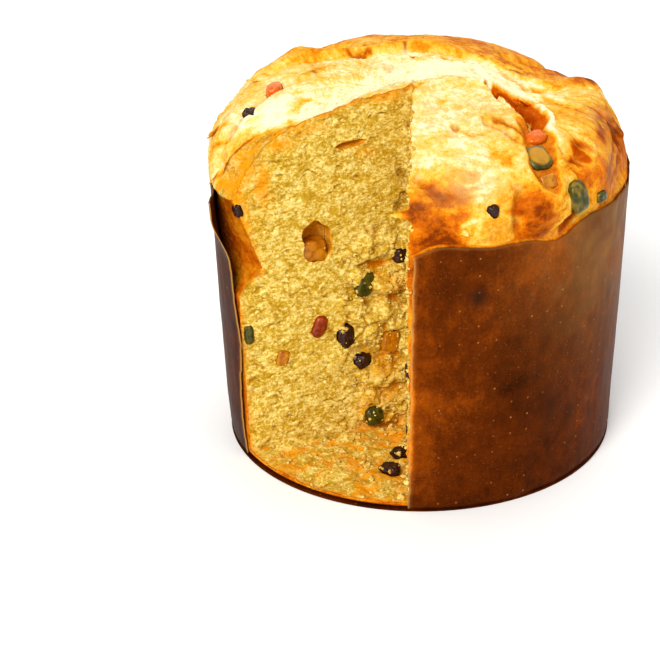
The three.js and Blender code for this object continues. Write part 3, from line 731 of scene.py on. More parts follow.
def cutFace(side, step):
    # a grid of distance from the tip and height, pushed out of the cut plane by the crumb's relief
    along, height = np.meshgrid(np.arange(*crumbLook["along"], step),
                                np.arange(*crumbLook["height"], step), indexing="ij")
    line, out = cuts[side]["along"], cuts[side]["out"]
    isLeft = side == "left"
    seed = 3 if isLeft else 40
    torn = tornShare(side, along, height)
    relief, pores, strands = crumbRelief(along, height, torn, seed, tornLumps if isLeft else ())
    x, y = tip[0] + line[0] * along, tip[1] + line[1] * along
    depth = depthInside(x, y, height)
    wander = layered(along / 7, height / 7, 21, seed)
    edge = np.exp(-np.maximum(depth - 0.3, 0) / 0.7) * smooth(-0.5, 0.6, wander)
    if isLeft:  # the dough there is bare, so no line of crust shows
        edge = edge * (1 - smooth(46, 56, along) * smooth(98, 106, height))
    ragged = 1.3 * layered(along / 6, height / 6, 24, seed, 4)
    ragged = ragged + 0.5 * noise(along / 1.4, height / 1.4, 25, seed)
    relief = relief * between(0.5, 1.0, smooth(0.0, 2.5, depth)) * smooth(-6, 0, along)
    relief = relief + ragged * smooth(5, 0.5, depth) * (0.5 if isLeft else 1.0)
    if not isLeft:  # a lip of dough that hangs over the cut
        relief = relief + 8 * hump(along - 69, 5) * hump(height - 129, 1.3)
    front = np.stack([x + out[0] * relief, y + out[1] * relief, height], -1)
    depth = np.maximum(depth, 0)
    warm = (0.75 + 0.5 * wander) * np.exp(-depth / (1.8 + 1.2 * wander)) * smooth(70, 100, height)
    warm = np.maximum(warm, 0.45 * np.exp(-depth / 1.5))
    for along0, height0, wide, tall, amount, stray in warmPatches[side]:
        near = hump(along - along0 + stray * wander, wide) * hump(height - height0 + stray * wander, tall)
        warm = np.maximum(warm, amount * near)
    warm = np.clip(np.maximum(warm, 0.7 * (torn - leastTorn) * smooth(0.4, 1.1, pores)), 0, 1)
    turned = slice(None) if isLeft else slice(None, None, -1)  # so that both faces look outwards
    points, quads, fan = closedTray(front[turned], lambda rim: planeBehind(rim, side))
    values = {}
    for key, array in {"cut": 1.0, "pore": pores, "strand": strands, "edge": edge, "warm": warm}.items():
        array = np.broadcast_to(array, along.shape)[turned]
        values[key] = np.concatenate([array.ravel(), np.full(len(points) - along.size, array.mean())])
    return newPiece("crumb_" + side, points, quads, fan, allFields(len(points), **values))


def planeBehind(points, side):  # carried straight back onto the plane behind a cut face
    out = cuts[side]["out"]
    away = (points[:, :2] - tip) @ out + crumbLook["recess"]
    return np.column_stack([points[:, :2] - away[:, None] * out, points[:, 2]])


def floorFace(step):
    look = crumbLook
    x, y = np.meshgrid(np.arange(*look["floorX"], step), np.arange(*look["floorY"], step), indexing="ij")
    relief, pores, strands = crumbRelief(x, 0.55 * y, 0.5, 77)
    height = loaf["floorHeight"] + 0.8 * relief + 1.2 * layered(x / 8, y / 8, 7)
    front = np.stack([x, y, np.maximum(height, look["floorLeast"])], -1)[::-1]
    points, quads, fan = closedTray(front, lambda rim: rim * [1, 1, 0] + [0, 0, look["floorBack"]])
    warm = np.clip(0.15 + 1.3 * layered(x / 4, y / 4, 5) + 0.35 * smooth(-40, -5, x), 0, 0.8)
    edge = np.exp(-np.maximum(breadRadiusAt(4) - np.hypot(x, y), 0) / 1.2)
    rest = np.full(len(points) - x.size, 0.5)
    values = {key: np.append(array[::-1].ravel(), rest) for key, array in
              {"pore": pores, "strand": strands, "warm": warm, "edge": edge}.items()}
    return newPiece("crumb_floor", points, quads, fan, allFields(len(points), cut=1.0, **values))


def notchBehindFacings():
    # the prism that is left open in the crust piece, as far back as the facings reach
    look = crumbLook
    sides = [cuts["right"], cuts["left"]]
    normals = np.array([side["out"] for side in sides])
    corner = np.linalg.solve(normals, normals @ tip - look["recess"])
    right, left = (corner + 130 * side["along"] for side in sides)
    outline = np.array([corner, left, [-look["past"], -look["past"]], right])
    points = np.vstack([np.column_stack([outline, np.full(4, look[end])]) for end in ("below", "above")])
    quads = [[3, 2, 1, 0], [4, 5, 6, 7]] + [[k, (k + 1) % 4, (k + 1) % 4 + 4, k + 4] for k in range(4)]
    values = {key: np.full(8, 1.0 if key == "cut" else 0.4) for key in fields}
    return newPiece("notch", points, quads, values=values)


print("shapes ready")

# Fruit: rounded lumps, the same places and sizes as the frame's nodes
fruitKinds = {
    "raisin": {"squareness": 2.2, "wrinkle": 0.2},
    "orange": {"squareness": 3.2, "wrinkle": 0.05},
    "amber": {"squareness": 6.0, "wrinkle": 0.04},
    "green": {"squareness": 3.4, "wrinkle": 0.05},
    "russet": {"squareness": 2.6, "wrinkle": 0.1},
}
fruitGrid = {"skin": (30, 52), "pocket": (14, 28), "clearance": 0.15}  # rows and columns, millimetres


def lumpSurface(size, kind, seed, grow=0.0, detail=False):
    # superellipsoid by turn and lift, dented by noise; detail adds the skin's own folds and facets
    look = fruitKinds[kind]
    rows, around = fruitGrid["skin" if detail else "pocket"]
    turn = np.arange(around) * 2 * np.pi / around
    lift = (np.arange(1, rows + 1) / (rows + 1) - 0.5) * np.pi
    d = ballPoints(turn, lift)
    s = look["squareness"]
    scale = (np.abs(d) ** s).sum(-1) ** (-1 / s)
    x, y, z = np.moveaxis(d, -1, 0)
    dent = 1 + look["wrinkle"] * noise(2.3 * x, 2.3 * y, 2.3 * z, seed)
    fold = np.zeros(dent.shape)
    if detail and kind == "raisin":  # folds that run the long way
        stretch = np.where(np.arange(3) == np.argmax(size), 1.1, 2.6)
        q = d * stretch + 0.35 * noise(3 * x, 3 * y, 3 * z, seed + 5)[..., None]
        fold = ridged(*np.moveaxis(q, -1, 0), seed + 9)
        dent = dent + 0.3 * (fold - 0.75)
    elif detail:
        fold = layered(3 * x, 3 * y, 3 * z, seed + 9)
        dent = dent + 0.035 * fold
    points = d * (scale[..., None] * (np.array(size) / 2 * dent[..., None] + grow))
    return points, fold


def ballPoints(turn, lift):  # a unit ball's points, a row for each lift
    turn, lift = np.meshgrid(turn, lift)
    return np.stack([np.cos(turn) * np.cos(lift), np.sin(turn) * np.cos(lift), np.sin(lift)], -1)


def spun(turn):
    c, s = np.cos(turn * degree), np.sin(turn * degree)
    return np.array([[c, -s, 0], [s, c, 0], [0, 0, 1]])


def onCut(side, along, height, sink):  # origin and axes across, up and out of a cut face
    line, out = cuts[side]["along"], cuts[side]["out"]
    place = tip + line * along - out * sink
    normal = np.array([out[0], out[1], 0])
    up = np.array([0.0, 0.0, 1.0])
    return np.array([place[0], place[1], height]), np.column_stack([np.cross(up, normal), up, normal])


def onCrust(angle, distance, sink):
    share = distance / loaf["mapRadius"]
    radius, height, normalR, normalZ = (float(v) for v in crustPoint(np.float64(angle), share, -sink))
    outward = rounded(angle, 1.0, 0.0)
    normal = outward * normalR + np.array([0, 0, normalZ])
    across = np.cross([0, 0, 1], outward)
    return rounded(angle, radius, height), np.column_stack([across, np.cross(normal, across), normal])


def onFloor(x, y, lift):
    return np.array([x, y, loaf["floorHeight"] + lift]), np.eye(3)


fruit = [  # node, kind, place, size across, up and out, turn in its face
    ("amber_in_hollow", "amber", onCut("left", 42, 88.6, 4.4), (11, 9.5, 8), 6),
    ("green_peel_mid_left", "green", onCut("left", 20.8, 71.2, 1.8), (7.5, 11, 6), -12),
    ("russet_peel_left", "russet", onCut("left", 40.4, 55.4, 1.4), (6, 10, 5.5), -20),
    ("raisin_left_upper", "raisin", onCut("left", 29.2, 48.9, 1.6), (7.5, 12, 7), 8),
    ("raisin_left_lower", "raisin", onCut("left", 22.2, 36.4, 1.4), (7.8, 7.8, 7), 30),
    ("raisin_by_tip", "raisin", onCut("left", 5.4, 82, 1.2), (5.5, 8.5, 5), 0),
    ("green_peel_outer_left", "green", onCut("left", 70.5, 57, 1.4), (4, 8.5, 5), 5),
    ("amber_small_left", "amber", onCut("left", 56.5, 44, 1.6), (5, 6.5, 5), -15),
    ("amber_strip_by_tip", "amber", onCut("left", 9.6, 43.5, 1.2), (7, 9, 4.5), -10),
    ("green_peel_low_left", "green", onCut("left", 17.3, 9.6, 0.8), (7.8, 8.6, 6.5), 10),
    ("raisin_outer_left", "raisin", onCut("left", 73, 112, 1.2), (4, 6, 4.5), 15),
    ("raisin_floor_inner", "raisin", onFloor(-8, -42.2, 1.4), (8, 6.5, 5.5), 25),
    ("raisin_floor_outer", "raisin", onFloor(-11.5, -55.5, 1.4), (9.5, 6.5, 5.5), -30),
    ("orange_peel_in_tear", "orange", onCrust(327, 59, 1), (15, 5.5, 4.5), 62),
    ("orange_peel_right", "orange", onCrust(317.5, 72, 0.6), (9.5, 6.5, 6), 0),
    ("green_slice_right", "green", onCrust(310, 79.5, 0.4), (11, 11, 6), 0),
    ("amber_under_slice", "amber", onCrust(308, 88, 0.8), (7, 5.5, 5), 0),
    ("green_peel_right", "green", onCrust(316, 95, -0.2), (9, 12, 7), 8),
    ("green_bit_right", "green", onCrust(326, 98.5, 0.2), (5.5, 4.5, 4), 0),
    ("raisin_front", "raisin", onCrust(290, 93, 1), (4.8, 5.5, 4.5), 0),
    ("raisin_top_left", "raisin", onCrust(188, 77.5, 0.4), (7.5, 6, 5.5), 20),
    ("orange_peel_top_left", "orange", onCrust(178, 69.5, 0.2), (9.5, 6.5, 5.5), 0),
    ("raisin_back", "raisin", onCrust(97, 91, 0.8), (8, 6.5, 6), 40),
    ("orange_peel_back", "orange", onCrust(52, 93, 0.8), (9, 6.5, 6), -20),
    ("raisin_back_left", "raisin", onCrust(142, 88, 0.8), (7.5, 6, 5.5), 0),
    ("raisin_right_upper", "raisin", onCut("right", 22, 121, 1.6), (8, 7, 6), 15),
    ("amber_right_upper", "amber", onCut("right", 58, 97, 1.8), (9, 8, 6), 20),
    ("green_peel_right_mid", "green", onCut("right", 33, 80, 1.6), (7, 11, 6), -25),
    ("raisin_right_mid", "raisin", onCut("right", 64, 62, 1.6), (9, 7, 6.5), -10),
    ("orange_peel_right_mid", "orange", onCut("right", 24, 48, 1.6), (9, 6.5, 6), 35),
    ("raisin_right_low", "raisin", onCut("right", 47, 27, 1.6), (8, 9, 6.5), 0),
]
hollows = [  # the hollow round the amber piece, and a flat slit above it
    (onCut("left", 41, 93.6, 2), (13, 19, 13), 4),
    (onCut("left", 26.5, 133.8, 0), (13, 3.2, 7), 6),
]


def setInPlace(points, place, turn):
    origin, axes = place
    return points @ (axes @ spun(turn)).T + origin


def pocketCutters():  # all the pockets in one object, as they don't touch; the hollows in another
    made = []
    for name, items, grow in (
        ("pockets", [rest for _, *rest in fruit], fruitGrid["clearance"]),
        ("hollows", [("raisin", *rest) for rest in hollows], 0.0),
    ):
        shapes = []
        for seed, (kind, place, size, turn) in enumerate(items):
            shape, _ = lumpSurface(size, kind, seed, grow)
            points, quads, triangles = closedSkin(shape)
            shapes.append((setInPlace(points, place, turn), quads, triangles))
        points, quads, triangles = merged(shapes)
        # the walls they leave in the crumb carry a high pore value: painted shade in the pockets and hollows
        values = allFields(len(points), cut=1.0, pore=1.1, strand=0.4, warm=0.6)
        made.append(newPiece(name, points, quads, triangles, values))
    return made


def markFaces(piece, number):
    setValues(piece.data, "kind", np.full(len(piece.data.polygons), number), "FACE", "INT")


def markPlaces(piece):  # each vertex keeps its own place, so that the ones a Boolean adds can be told
    mesh = piece.data
    attribute = mesh.attributes.new("own", "FLOAT_VECTOR", "POINT")
    attribute.data.foreach_set("vector", (places(mesh) * mm).astype(np.float32).ravel())


def shareBelow(angle, radius, height):
    # the map share whose point lies straight below a place: slid along the surface in three steps
    step, most = leastShare, 0.995
    share = 1 - np.arctan2(np.maximum(height - loaf["springHeight"], 0.01), radius) / (np.pi / 2)
    share = np.clip(share, leastShare, most)
    for _ in range(3):
        r0, z0, *_ = crustPoint(angle, share)
        r1, z1, *_ = crustPoint(angle, share + step)
        reach = np.hypot(r1 - r0, z1 - z0)
        share = share + step * ((radius - r0) * (r1 - r0) + (height - z0) * (z1 - z0)) / reach ** 2
        share = np.clip(share, leastShare, most)
    return share


def mendNewVertices(piece):
    # vertices made by a Boolean get the crust's fields of their own place, on the edge of the cut
    mesh = piece.data
    own = np.zeros(len(mesh.vertices) * 3, np.float32)
    mesh.attributes["own"].data.foreach_get("vector", own)
    place = places(mesh)
    added = np.abs(own.reshape(-1, 3) / mm - place).max(1) > 0.002  # a place that isn't the vertex's own
    x, y, z = place[added].T
    angle, radius = np.degrees(np.arctan2(y, x)), np.hypot(x, y)
    grain, fresh = crustSkin(angle, shareBelow(angle, radius, z))
    below = z < paperTopAt(angle) + 0.4
    fresh = {key: np.where(below, under, fresh[key]) for key, under in sideColours(z).items()}
    outside = smooth(1.2, 0.3, depthInside(x, y, z) + np.where(below, 0, grain))
    foot = place[added][:, :2] - tip
    onFace = outside < 0.5
    for cut in cuts.values():  # within 3 mm of a cut's plane, from just behind the tip outwards
        onFace = onFace | (np.abs(foot @ cut["out"]) < 3) & (foot @ cut["along"] > -4)
    fresh["cut"] = np.where(onFace, 1 - 0.5 * outside, 0)
    fresh["edge"] = np.where(onFace, outside, 0) * (1 - np.clip(1.2 * fresh["bare"], 0, 1))
    fresh["pore"] = np.maximum(fresh["pore"], 0.4 * (1 - outside))
    fresh["warm"] = np.where(outside < 0.5, 0.4, fresh["warm"])
    for key in fields:
        array = getValues(mesh, key, len(mesh.vertices))
        array[added] = fresh[key]
        setValues(mesh, key, array)
    mesh.attributes.remove(mesh.attributes["own"])


def sharpBetweenKinds(piece):  # keeps a crisp edge where the crust ends and the cut begins
    mesh = piece.data
    kind = getValues(mesh, "kind", len(mesh.polygons), np.int32)
    corners = np.zeros(len(mesh.polygons), np.int32)
    mesh.polygons.foreach_get("loop_total", corners)
    edge = np.zeros(len(mesh.loops), np.int32)
    mesh.loops.foreach_get("edge_index", edge)
    byCorner = np.repeat(kind, corners)
    low, high = np.full(len(mesh.edges), 9), np.full(len(mesh.edges), -9)
    np.minimum.at(low, edge, byCorner)
    np.maximum.at(high, edge, byCorner)
    mesh.edges.foreach_set("use_edge_sharp", low != high)
    mesh.polygons.foreach_set("use_smooth", np.ones(len(mesh.polygons), bool))
    mesh.attributes.remove(mesh.attributes["kind"])


def buildBread():
    whole = wholeLoaf()
    left = cutFace("left", crumbLook["leftStep"])
    right = cutFace("right", crumbLook["rightStep"])
    floor = floorFace(crumbLook["floorStep"])
    pockets, hollowCutters = pocketCutters()
    opening = notchBehindFacings()
    for piece in (whole, left, right, floor, pockets, hollowCutters, opening):
        markFaces(piece, 0 if piece is whole else 1)
        markPlaces(piece)
    for piece in (left, right, floor):
        join(piece, whole, "INTERSECT")
    join(whole, opening, "DIFFERENCE")
    for piece in (whole, left, right, floor):
        join(piece, pockets, "DIFFERENCE")
        if piece in (whole, left):
            join(piece, hollowCutters, "DIFFERENCE")
        mendNewVertices(piece)
        sharpBetweenKinds(piece)
        print(piece.name, len(piece.data.polygons), "faces")
    for cutter in (pockets, hollowCutters, opening):
        drop(cutter)
    whole.name = "crust"
    return [whole, left, right, floor]


breadPieces = buildBread()
print("bread ready")


# Shader maths: a socket's value that can be added, multiplied and so on; each operator adds a Math node
class Signal:
    def __init__(self, finish, socket):
        self.finish, self.socket = finish, socket

    def math(self, operation, *values):
        node = self.finish.node("ShaderNodeMath", {"operation": operation}, list(values))
        return Signal(self.finish, node.outputs[0])

    def __add__(self, other): return self.math("ADD", self, other)
    def __radd__(self, other): return self.math("ADD", other, self)
    def __sub__(self, other): return self.math("SUBTRACT", self, other)
    def __rsub__(self, other): return self.math("SUBTRACT", other, self)
    def __mul__(self, other): return self.math("MULTIPLY", self, other)
    def __rmul__(self, other): return self.math("MULTIPLY", other, self)
    def __truediv__(self, other): return self.math("DIVIDE", self, other)
    def __rtruediv__(self, other): return self.math("DIVIDE", other, self)

    def step(self, low, high):  # 0 below low, 1 above high, eased between
        node = self.finish.node("ShaderNodeMapRange", {"interpolation_type": "SMOOTHSTEP"},
                                {"Value": self, "From Min": low, "From Max": high})
        return Signal(self.finish, node.outputs[0])

    def fract(self): return self.math("FRACT", self)
    def root(self): return self.math("SQRT", self)


def tint(r, g, b):  # screen colour, 0 to 255, as the shader's linear one
    c = np.array([r, g, b]) / 255
    return (*np.where(c > 0.04045, ((c + 0.055) / 1.055) ** 2.4, c / 12.92), 1.0)


class Finish:
    def __init__(self, name, **constants):
        self.material = bpy.data.materials.new(name)
        self.material.use_nodes = True
        self.tree = self.material.node_tree
        self.tree.nodes.clear()
        self.surface = self.node("ShaderNodeBsdfPrincipled", {}, constants)
        self.node("ShaderNodeOutputMaterial", {}, {"Surface": self.surface.outputs[0]})
        self.object = self.node("ShaderNodeTexCoord").outputs["Object"]

    def node(self, kind, settings=None, sockets=None):
        # sockets: a list for the first ones in order, or a dictionary by name or number
        node = self.tree.nodes.new(kind)
        for key, value in (settings or {}).items():
            setattr(node, key, value)
        pairs = enumerate(sockets) if isinstance(sockets, list) else (sockets or {}).items()
        for key, value in pairs:
            self.feed(node.inputs[key], value)
        return node

    def feed(self, socket, value):
        value = value.socket if isinstance(value, Signal) else value
        if isinstance(value, bpy.types.NodeSocket):
            self.tree.links.new(value, socket)
        else:
            socket.default_value = value

    def field(self, name):
        return Signal(self, self.node("ShaderNodeAttribute", {"attribute_name": name}).outputs["Fac"])

    def parts(self, vector):
        return [Signal(self, socket) for socket in self.node("ShaderNodeSeparateXYZ", {}, [vector]).outputs]

    def vector(self, *parts):
        return self.node("ShaderNodeCombineXYZ", {}, list(parts)).outputs[0]

    def vectorMath(self, operation, *vectors):
        return self.node("ShaderNodeVectorMath", {"operation": operation}, list(vectors)).outputs[0]

    def speckle(self, scale, detail=3, roughness=0.6, vector=None):  # scale in waves per metre
        node = self.node("ShaderNodeTexNoise", {}, {
            "Vector": vector or self.object, "Scale": scale, "Detail": detail, "Roughness": roughness})
        return Signal(self, node.outputs["Fac"])

    def ramp(self, factor, stops):  # stops: place and screen colour
        node = self.node("ShaderNodeValToRGB", {}, [factor])
        elements = node.color_ramp.elements
        while len(elements) < len(stops):
            elements.new(0.5)
        for element, (at, colour) in zip(elements, stops):
            element.position, element.color = at, tint(*colour)
        return node.outputs["Color"]

    def mix(self, factor, a, b):  # a and b: a socket, or a screen colour; the node keeps factor from 0 to 1
        node = self.node("ShaderNodeMix", {"data_type": "RGBA", "clamp_factor": True}, {0: factor})
        for index, value in ((6, a), (7, b)):
            self.feed(node.inputs[index], tint(*value) if isinstance(value, tuple) else value)
        return node.outputs[2]

    def bump(self, height, distance, strength=1.0):  # distance in millimetres
        sockets = {"Height": height, "Distance": distance * mm, "Strength": strength}
        return self.node("ShaderNodeBump", {}, sockets).outputs[0]

    def set(self, **sockets):
        for key, value in sockets.items():
            self.feed(self.surface.inputs[key.replace("_", " ")], value)


def paint(piece, finish):
    piece.data.materials.clear()
    piece.data.materials.append(finish.material)


breadLook = {
    "browned": [(0.0, (252, 240, 198)), (0.2, (244, 212, 138)), (0.4, (241, 190, 80)),
                (0.58, (232, 158, 34)), (0.78, (204, 108, 10)), (1.0, (128, 56, 6))],
    "creaseDeep": (148, 58, 0), "tan": (206, 150, 92), "pocket": (208, 98, 0),
    "pocketEdge": (246, 180, 52),
    "crumbLight": (240, 222, 146), "crumbMid": (203, 167, 54), "crumbDeep": (150, 104, 6),
    "crumbWarm": (230, 152, 16), "crustLine": (224, 134, 16),
}


def breadFinish():
    look = breadLook
    f = Finish("baked_bread", **{"Specular IOR Level": 0.06, "Specular Tint": (1.0, 0.8, 0.55, 1.0)})
    x, y, z = f.parts(f.object)
    band, falls = f.field("band"), f.field("falls")
    level = f.vector(x * 150, y * 150, band * 420)          # runs round the loaf
    outX, outY, _ = f.parts(f.vectorMath("NORMALIZE", f.vector(x, y, 0.0)))
    steep = f.vector(outX * 38, outY * 38, band * 160)      # runs down the slope
    fibre = f.speckle(1.0, vector=level) * (1 - falls) + f.speckle(1.0, vector=steep) * falls
    patches, fine, grainy = f.speckle(70, 4), f.speckle(420), f.speckle(1150, 3, 0.7)
    browning, crease = f.field("browning"), f.field("crease")
    pore, strand, warm, edge = f.field("pore"), f.field("strand"), f.field("warm"), f.field("edge")

    calm = 1 - 0.55 * browning.step(0.45, 0.8)
    tone = browning + (fibre - 0.5) * 0.55 + (patches - 0.5) * 0.8
    tone = tone + ((fine - 0.5) * 0.7 + (grainy - 0.5) * 0.5) * calm - (strand - 0.5) * 0.14
    crust = f.ramp(tone, look["browned"])
    blotch = f.speckle(110).step(0.54, 0.72)
    crust = f.mix(blotch * 0.45 * browning.step(0.5, 0.2), crust, look["crumbWarm"])
    crust = f.mix(f.field("tan") * ((fibre - 0.45) * 3.2 + 0.45), crust, look["tan"])
    soaked = warm * (2.0 + (fine - 0.5) * 2.0)              # the first half pale, the second deep
    crust = f.mix(soaked, crust, look["pocketEdge"])
    crust = f.mix(soaked - 1.0, crust, look["pocket"])
    # painted shade in the creases, pits and pressed lines
    crust = f.mix(crease * (0.65 + fine * 0.5), crust, look["creaseDeep"])

    tiny, mid = f.speckle(1000, 3, 0.7), f.speckle(230)
    gaps = f.speckle(1.0, 3, 0.65, f.vector(x * 560, y * 560, z * 1000))
    # over random grain, hollow paints shade into the crumb's pores and pale paints highlight on its strands
    hollow = pore * 0.65 + (mid - 0.5) * 1.3 + (tiny - 0.5) * 1.3 + (gaps - 0.5) * 1.4
    pale = (strand - 0.5) * 0.9 + (0.5 - tiny) * 2.8 + (0.5 - gaps) * 2.2 + (0.5 - mid) * 1.6 + 0.3
    crumb = f.mix(pale, look["crumbMid"], look["crumbLight"])
    crumb = f.mix(hollow, crumb, look["crumbDeep"])
    crumb = f.mix(warm + (fine - 0.5) * 0.4 * warm, crumb, look["crumbWarm"])
    crumb = f.mix(edge * 0.85, crumb, look["crustLine"])
    cut = f.field("cut")
    colour = f.mix(cut.step(0.4, 0.6), f.mix(f.field("bare"), crust, crumb), crumb)

    rough = (0.46 + 0.3 * patches - 0.2 * browning) * (1 - cut) + 0.85 * cut
    crustHeight = fibre * 0.35 + fine * 0.45 + grainy * 0.3
    crumbHeight = fine * 0.22 - gaps * 0.22 + tiny * 0.16
    height = crustHeight * (1 - cut) + crumbHeight * cut
    f.set(Base_Color=colour, Roughness=rough, Normal=f.bump(height, 1.2))
    return f


bread = breadFinish()
for piece in breadPieces:
    paint(piece, bread)
    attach(piece, "root")
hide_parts("bread")

# Thin flakes of crust that stand off the surface
flakes = [  # angle, distance, heading on the map, length, width, lift, browning
    (182, 89, 245, 6, 7, 2.4, 0.1), (164, 73, 165, 7, 5, 2.2, 0.22), (195, 97, 230, 6, 4, 2.0, 0.1),
    (351, 83, -60, 8, 5, 1.8, 0.5), (346, 98, -40, 7, 5, 1.8, 0.5), (341, 60, 225, 9, 2.4, 2.0, 0.1),
    (134, 52, 30, 7, 3, 1.4, 0.3), (60, 40, 200, 8, 4, 1.2, 0.4), (96, 38, 260, 7, 4, 1.2, 0.4),
    (24, 60, 180, 8, 4, 1.2, 0.4), (280, 97.5, 350, 5, 2.4, 1.2, 0.1),
]


def buildFlakes():
    # each is a tongue: it runs along its heading, narrows to its end and curls up off the crust
    rows, columns, thickness = 16, 10, 0.45
    shapes, values = [], []
    along, across = np.meshgrid(np.linspace(0, 1, rows), np.linspace(-0.5, 0.5, columns), indexing="ij")
    for seed, (angle, distance, heading, length, width, lift, brown) in enumerate(flakes):
        cx, cy = onMap(angle, distance)
        ragged = 0.25 * layered(along * 4, across * 4, seed, 71)
        wide = width * np.sqrt(np.clip(1 - along ** 2, 0.02, 1)) * (1 + ragged)
        u, v = length * (along + 0.12 * ragged), wide * across
        c, s = np.cos(heading * degree), np.sin(heading * degree)
        x, y = cx + u * c - v * s, cy + u * s + v * c
        turned = np.degrees(np.arctan2(y, x))
        share = np.clip(np.hypot(x, y) / loaf["mapRadius"], 0.01, 0.985)
        grain, colours = crustSkin(turned, share)
        away = 0.5 * grain + lift * along ** 1.4 - 0.3 + 2.2 * across ** 2 * along + 0.3 * ragged
        skins = []
        for depth in (0.0, -thickness):
            radius, height, *_ = crustPoint(turned, share, away + depth * (1.2 - along))
            skins.append(rounded(turned, radius, height))
        points, quads = closedSheet(*skins)
        front = points[quads[:(rows - 1) * (columns - 1)]]
        facing = np.cross(front[:, 1] - front[:, 0], front[:, 3] - front[:, 0]).sum(0)
        outward = points[:rows * columns].mean(0) - [0, 0, 60]  # from the middle of the loaf
        shapes.append((points, quads[:, ::-1] if facing @ outward < 0 else quads))
        colours["browning"], colours["crease"] = colours["browning"] * 0.4 + brown, 0.5 * colours["crease"]
        values.append({key: np.tile(np.broadcast_to(array, turned.shape).ravel(), 2)
                       for key, array in colours.items()})
    points, quads = merged(shapes)
    joined = {key: np.concatenate([value[key] for value in values]) for key in values[0]}
    piece = newPiece("crust_flakes", points, quads, values=allFields(len(points), **joined))
    paint(piece, bread)
    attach(piece, "root")


buildFlakes()

# Fruit pieces with their own skins
fruitLook = {
    "raisin": {"thin": (70, 32, 24), "deep": (22, 9, 8), "subsurface": 0.05, "coat": 0.22, "rough": 0.36},
    "orange": {"thin": (232, 134, 22), "deep": (200, 76, 0), "subsurface": 0.15, "coat": 0.3, "rough": 0.28},
    "amber": {"thin": (214, 148, 22), "deep": (150, 84, 4), "subsurface": 0.3, "coat": 0.3, "rough": 0.2},
    "green": {"thin": (110, 106, 34), "deep": (36, 42, 10), "subsurface": 0.2, "coat": 0.22, "rough": 0.32},
    "russet": {"thin": (176, 70, 20), "deep": (96, 26, 8), "subsurface": 0.25, "coat": 0.4, "rough": 0.3},
}
fleshAndHighlightTint = (190, 138, 36)   # the flesh that shows in a cut peel, and the painted highlight on the green peels at the right


def fruitFinish(kind):
    look = fruitLook[kind]
    f = Finish(kind + "_skin", **{
        "Subsurface Weight": look["subsurface"], "Subsurface Radius": (1.0, 0.6, 0.25),
        "Subsurface Scale": 0.004, "Coat Weight": look["coat"], "Coat Roughness": 0.18,
        "Specular IOR Level": 0.3})
    cloud, fine = f.speckle(260, 3, 0.5), f.speckle(1100, 2, 0.5)
    # for raisins fold is highest on the ridges, so they are darker in their folds and lighter on the ridges:
    # painted shade and painted glow; for the other fruit fold is random
    share = f.field("fold") * 0.9 + (cloud - 0.5) * 0.9 + (fine - 0.5) * 0.25
    colour = f.mix(share, look["deep"], look["thin"])
    colour = f.mix(f.field("fleshAndHighlight") * (0.5 + cloud), colour, fleshAndHighlightTint)
    f.set(Base_Color=colour, Roughness=look["rough"] + (cloud - 0.5) * 0.3,
          Normal=f.bump(cloud * 0.6 + fine * 0.3, 0.35, 0.7))
    return f


def buildFruit():
    finishes = {kind: fruitFinish(kind) for kind in fruitKinds}
    for seed, (node, kind, place, size, turn) in enumerate(fruit):
        shape, fold = lumpSurface(size, kind, seed, detail=True)
        points, quads, triangles = closedSkin(shape)
        fold = (fold - fold.min()) / (np.ptp(fold) + 1e-9)
        fold = np.append(fold.ravel(), [0.5, 0.5])
        fleshAndHighlight = np.zeros(len(points))
        if node == "green_slice_right":  # a round slice, with its flesh inside the rind
            middle = points / (np.array(size) / 2)
            fleshAndHighlight = smooth(0.86, 0.66, np.hypot(middle[:, 0], middle[:, 1])) * (middle[:, 2] > 0)
        # the green peels at the right: a painted highlight on the high points of their folds
        elif node in ("green_peel_right", "green_bit_right"):
            fleshAndHighlight = 0.5 * smooth(0.45, 0.95, fold)
        values = {"fold": fold, "fleshAndHighlight": fleshAndHighlight}
        piece = newPiece(node + "_detail", setInPlace(points, place, turn), quads, triangles, values)
        paint(piece, finishes[kind])
        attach(piece, "root")
        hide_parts(node)


buildFruit()
print("fruit ready")

# Loose crumbs: on the floor of the notch, in the torn crumb, and caught on the rims of the fruit
looseCrumbs = {
    "onFloor": 170, "onTorn": 170, "onRim": {"left": 0, "right": 90}, "perFruit": 2,
    "small": 0.3, "large": 1.3, "tried": 4000,
    # in millimetres: how far from a cut face, above the floor and above a fruit each crumb starts,
    # how far it may fall, and the stretches of floor and torn crumb that they start from
    "standOff": 12, "overFloor": 14, "overFruit": 4, "fall": 30,
    "floorAlong": (8, 66), "tornAlong": (2, 32), "tornHeight": (6, 90),
    "lifts": (-55, -20, 15, 50),   # rings of a crumb's points, in degrees
}


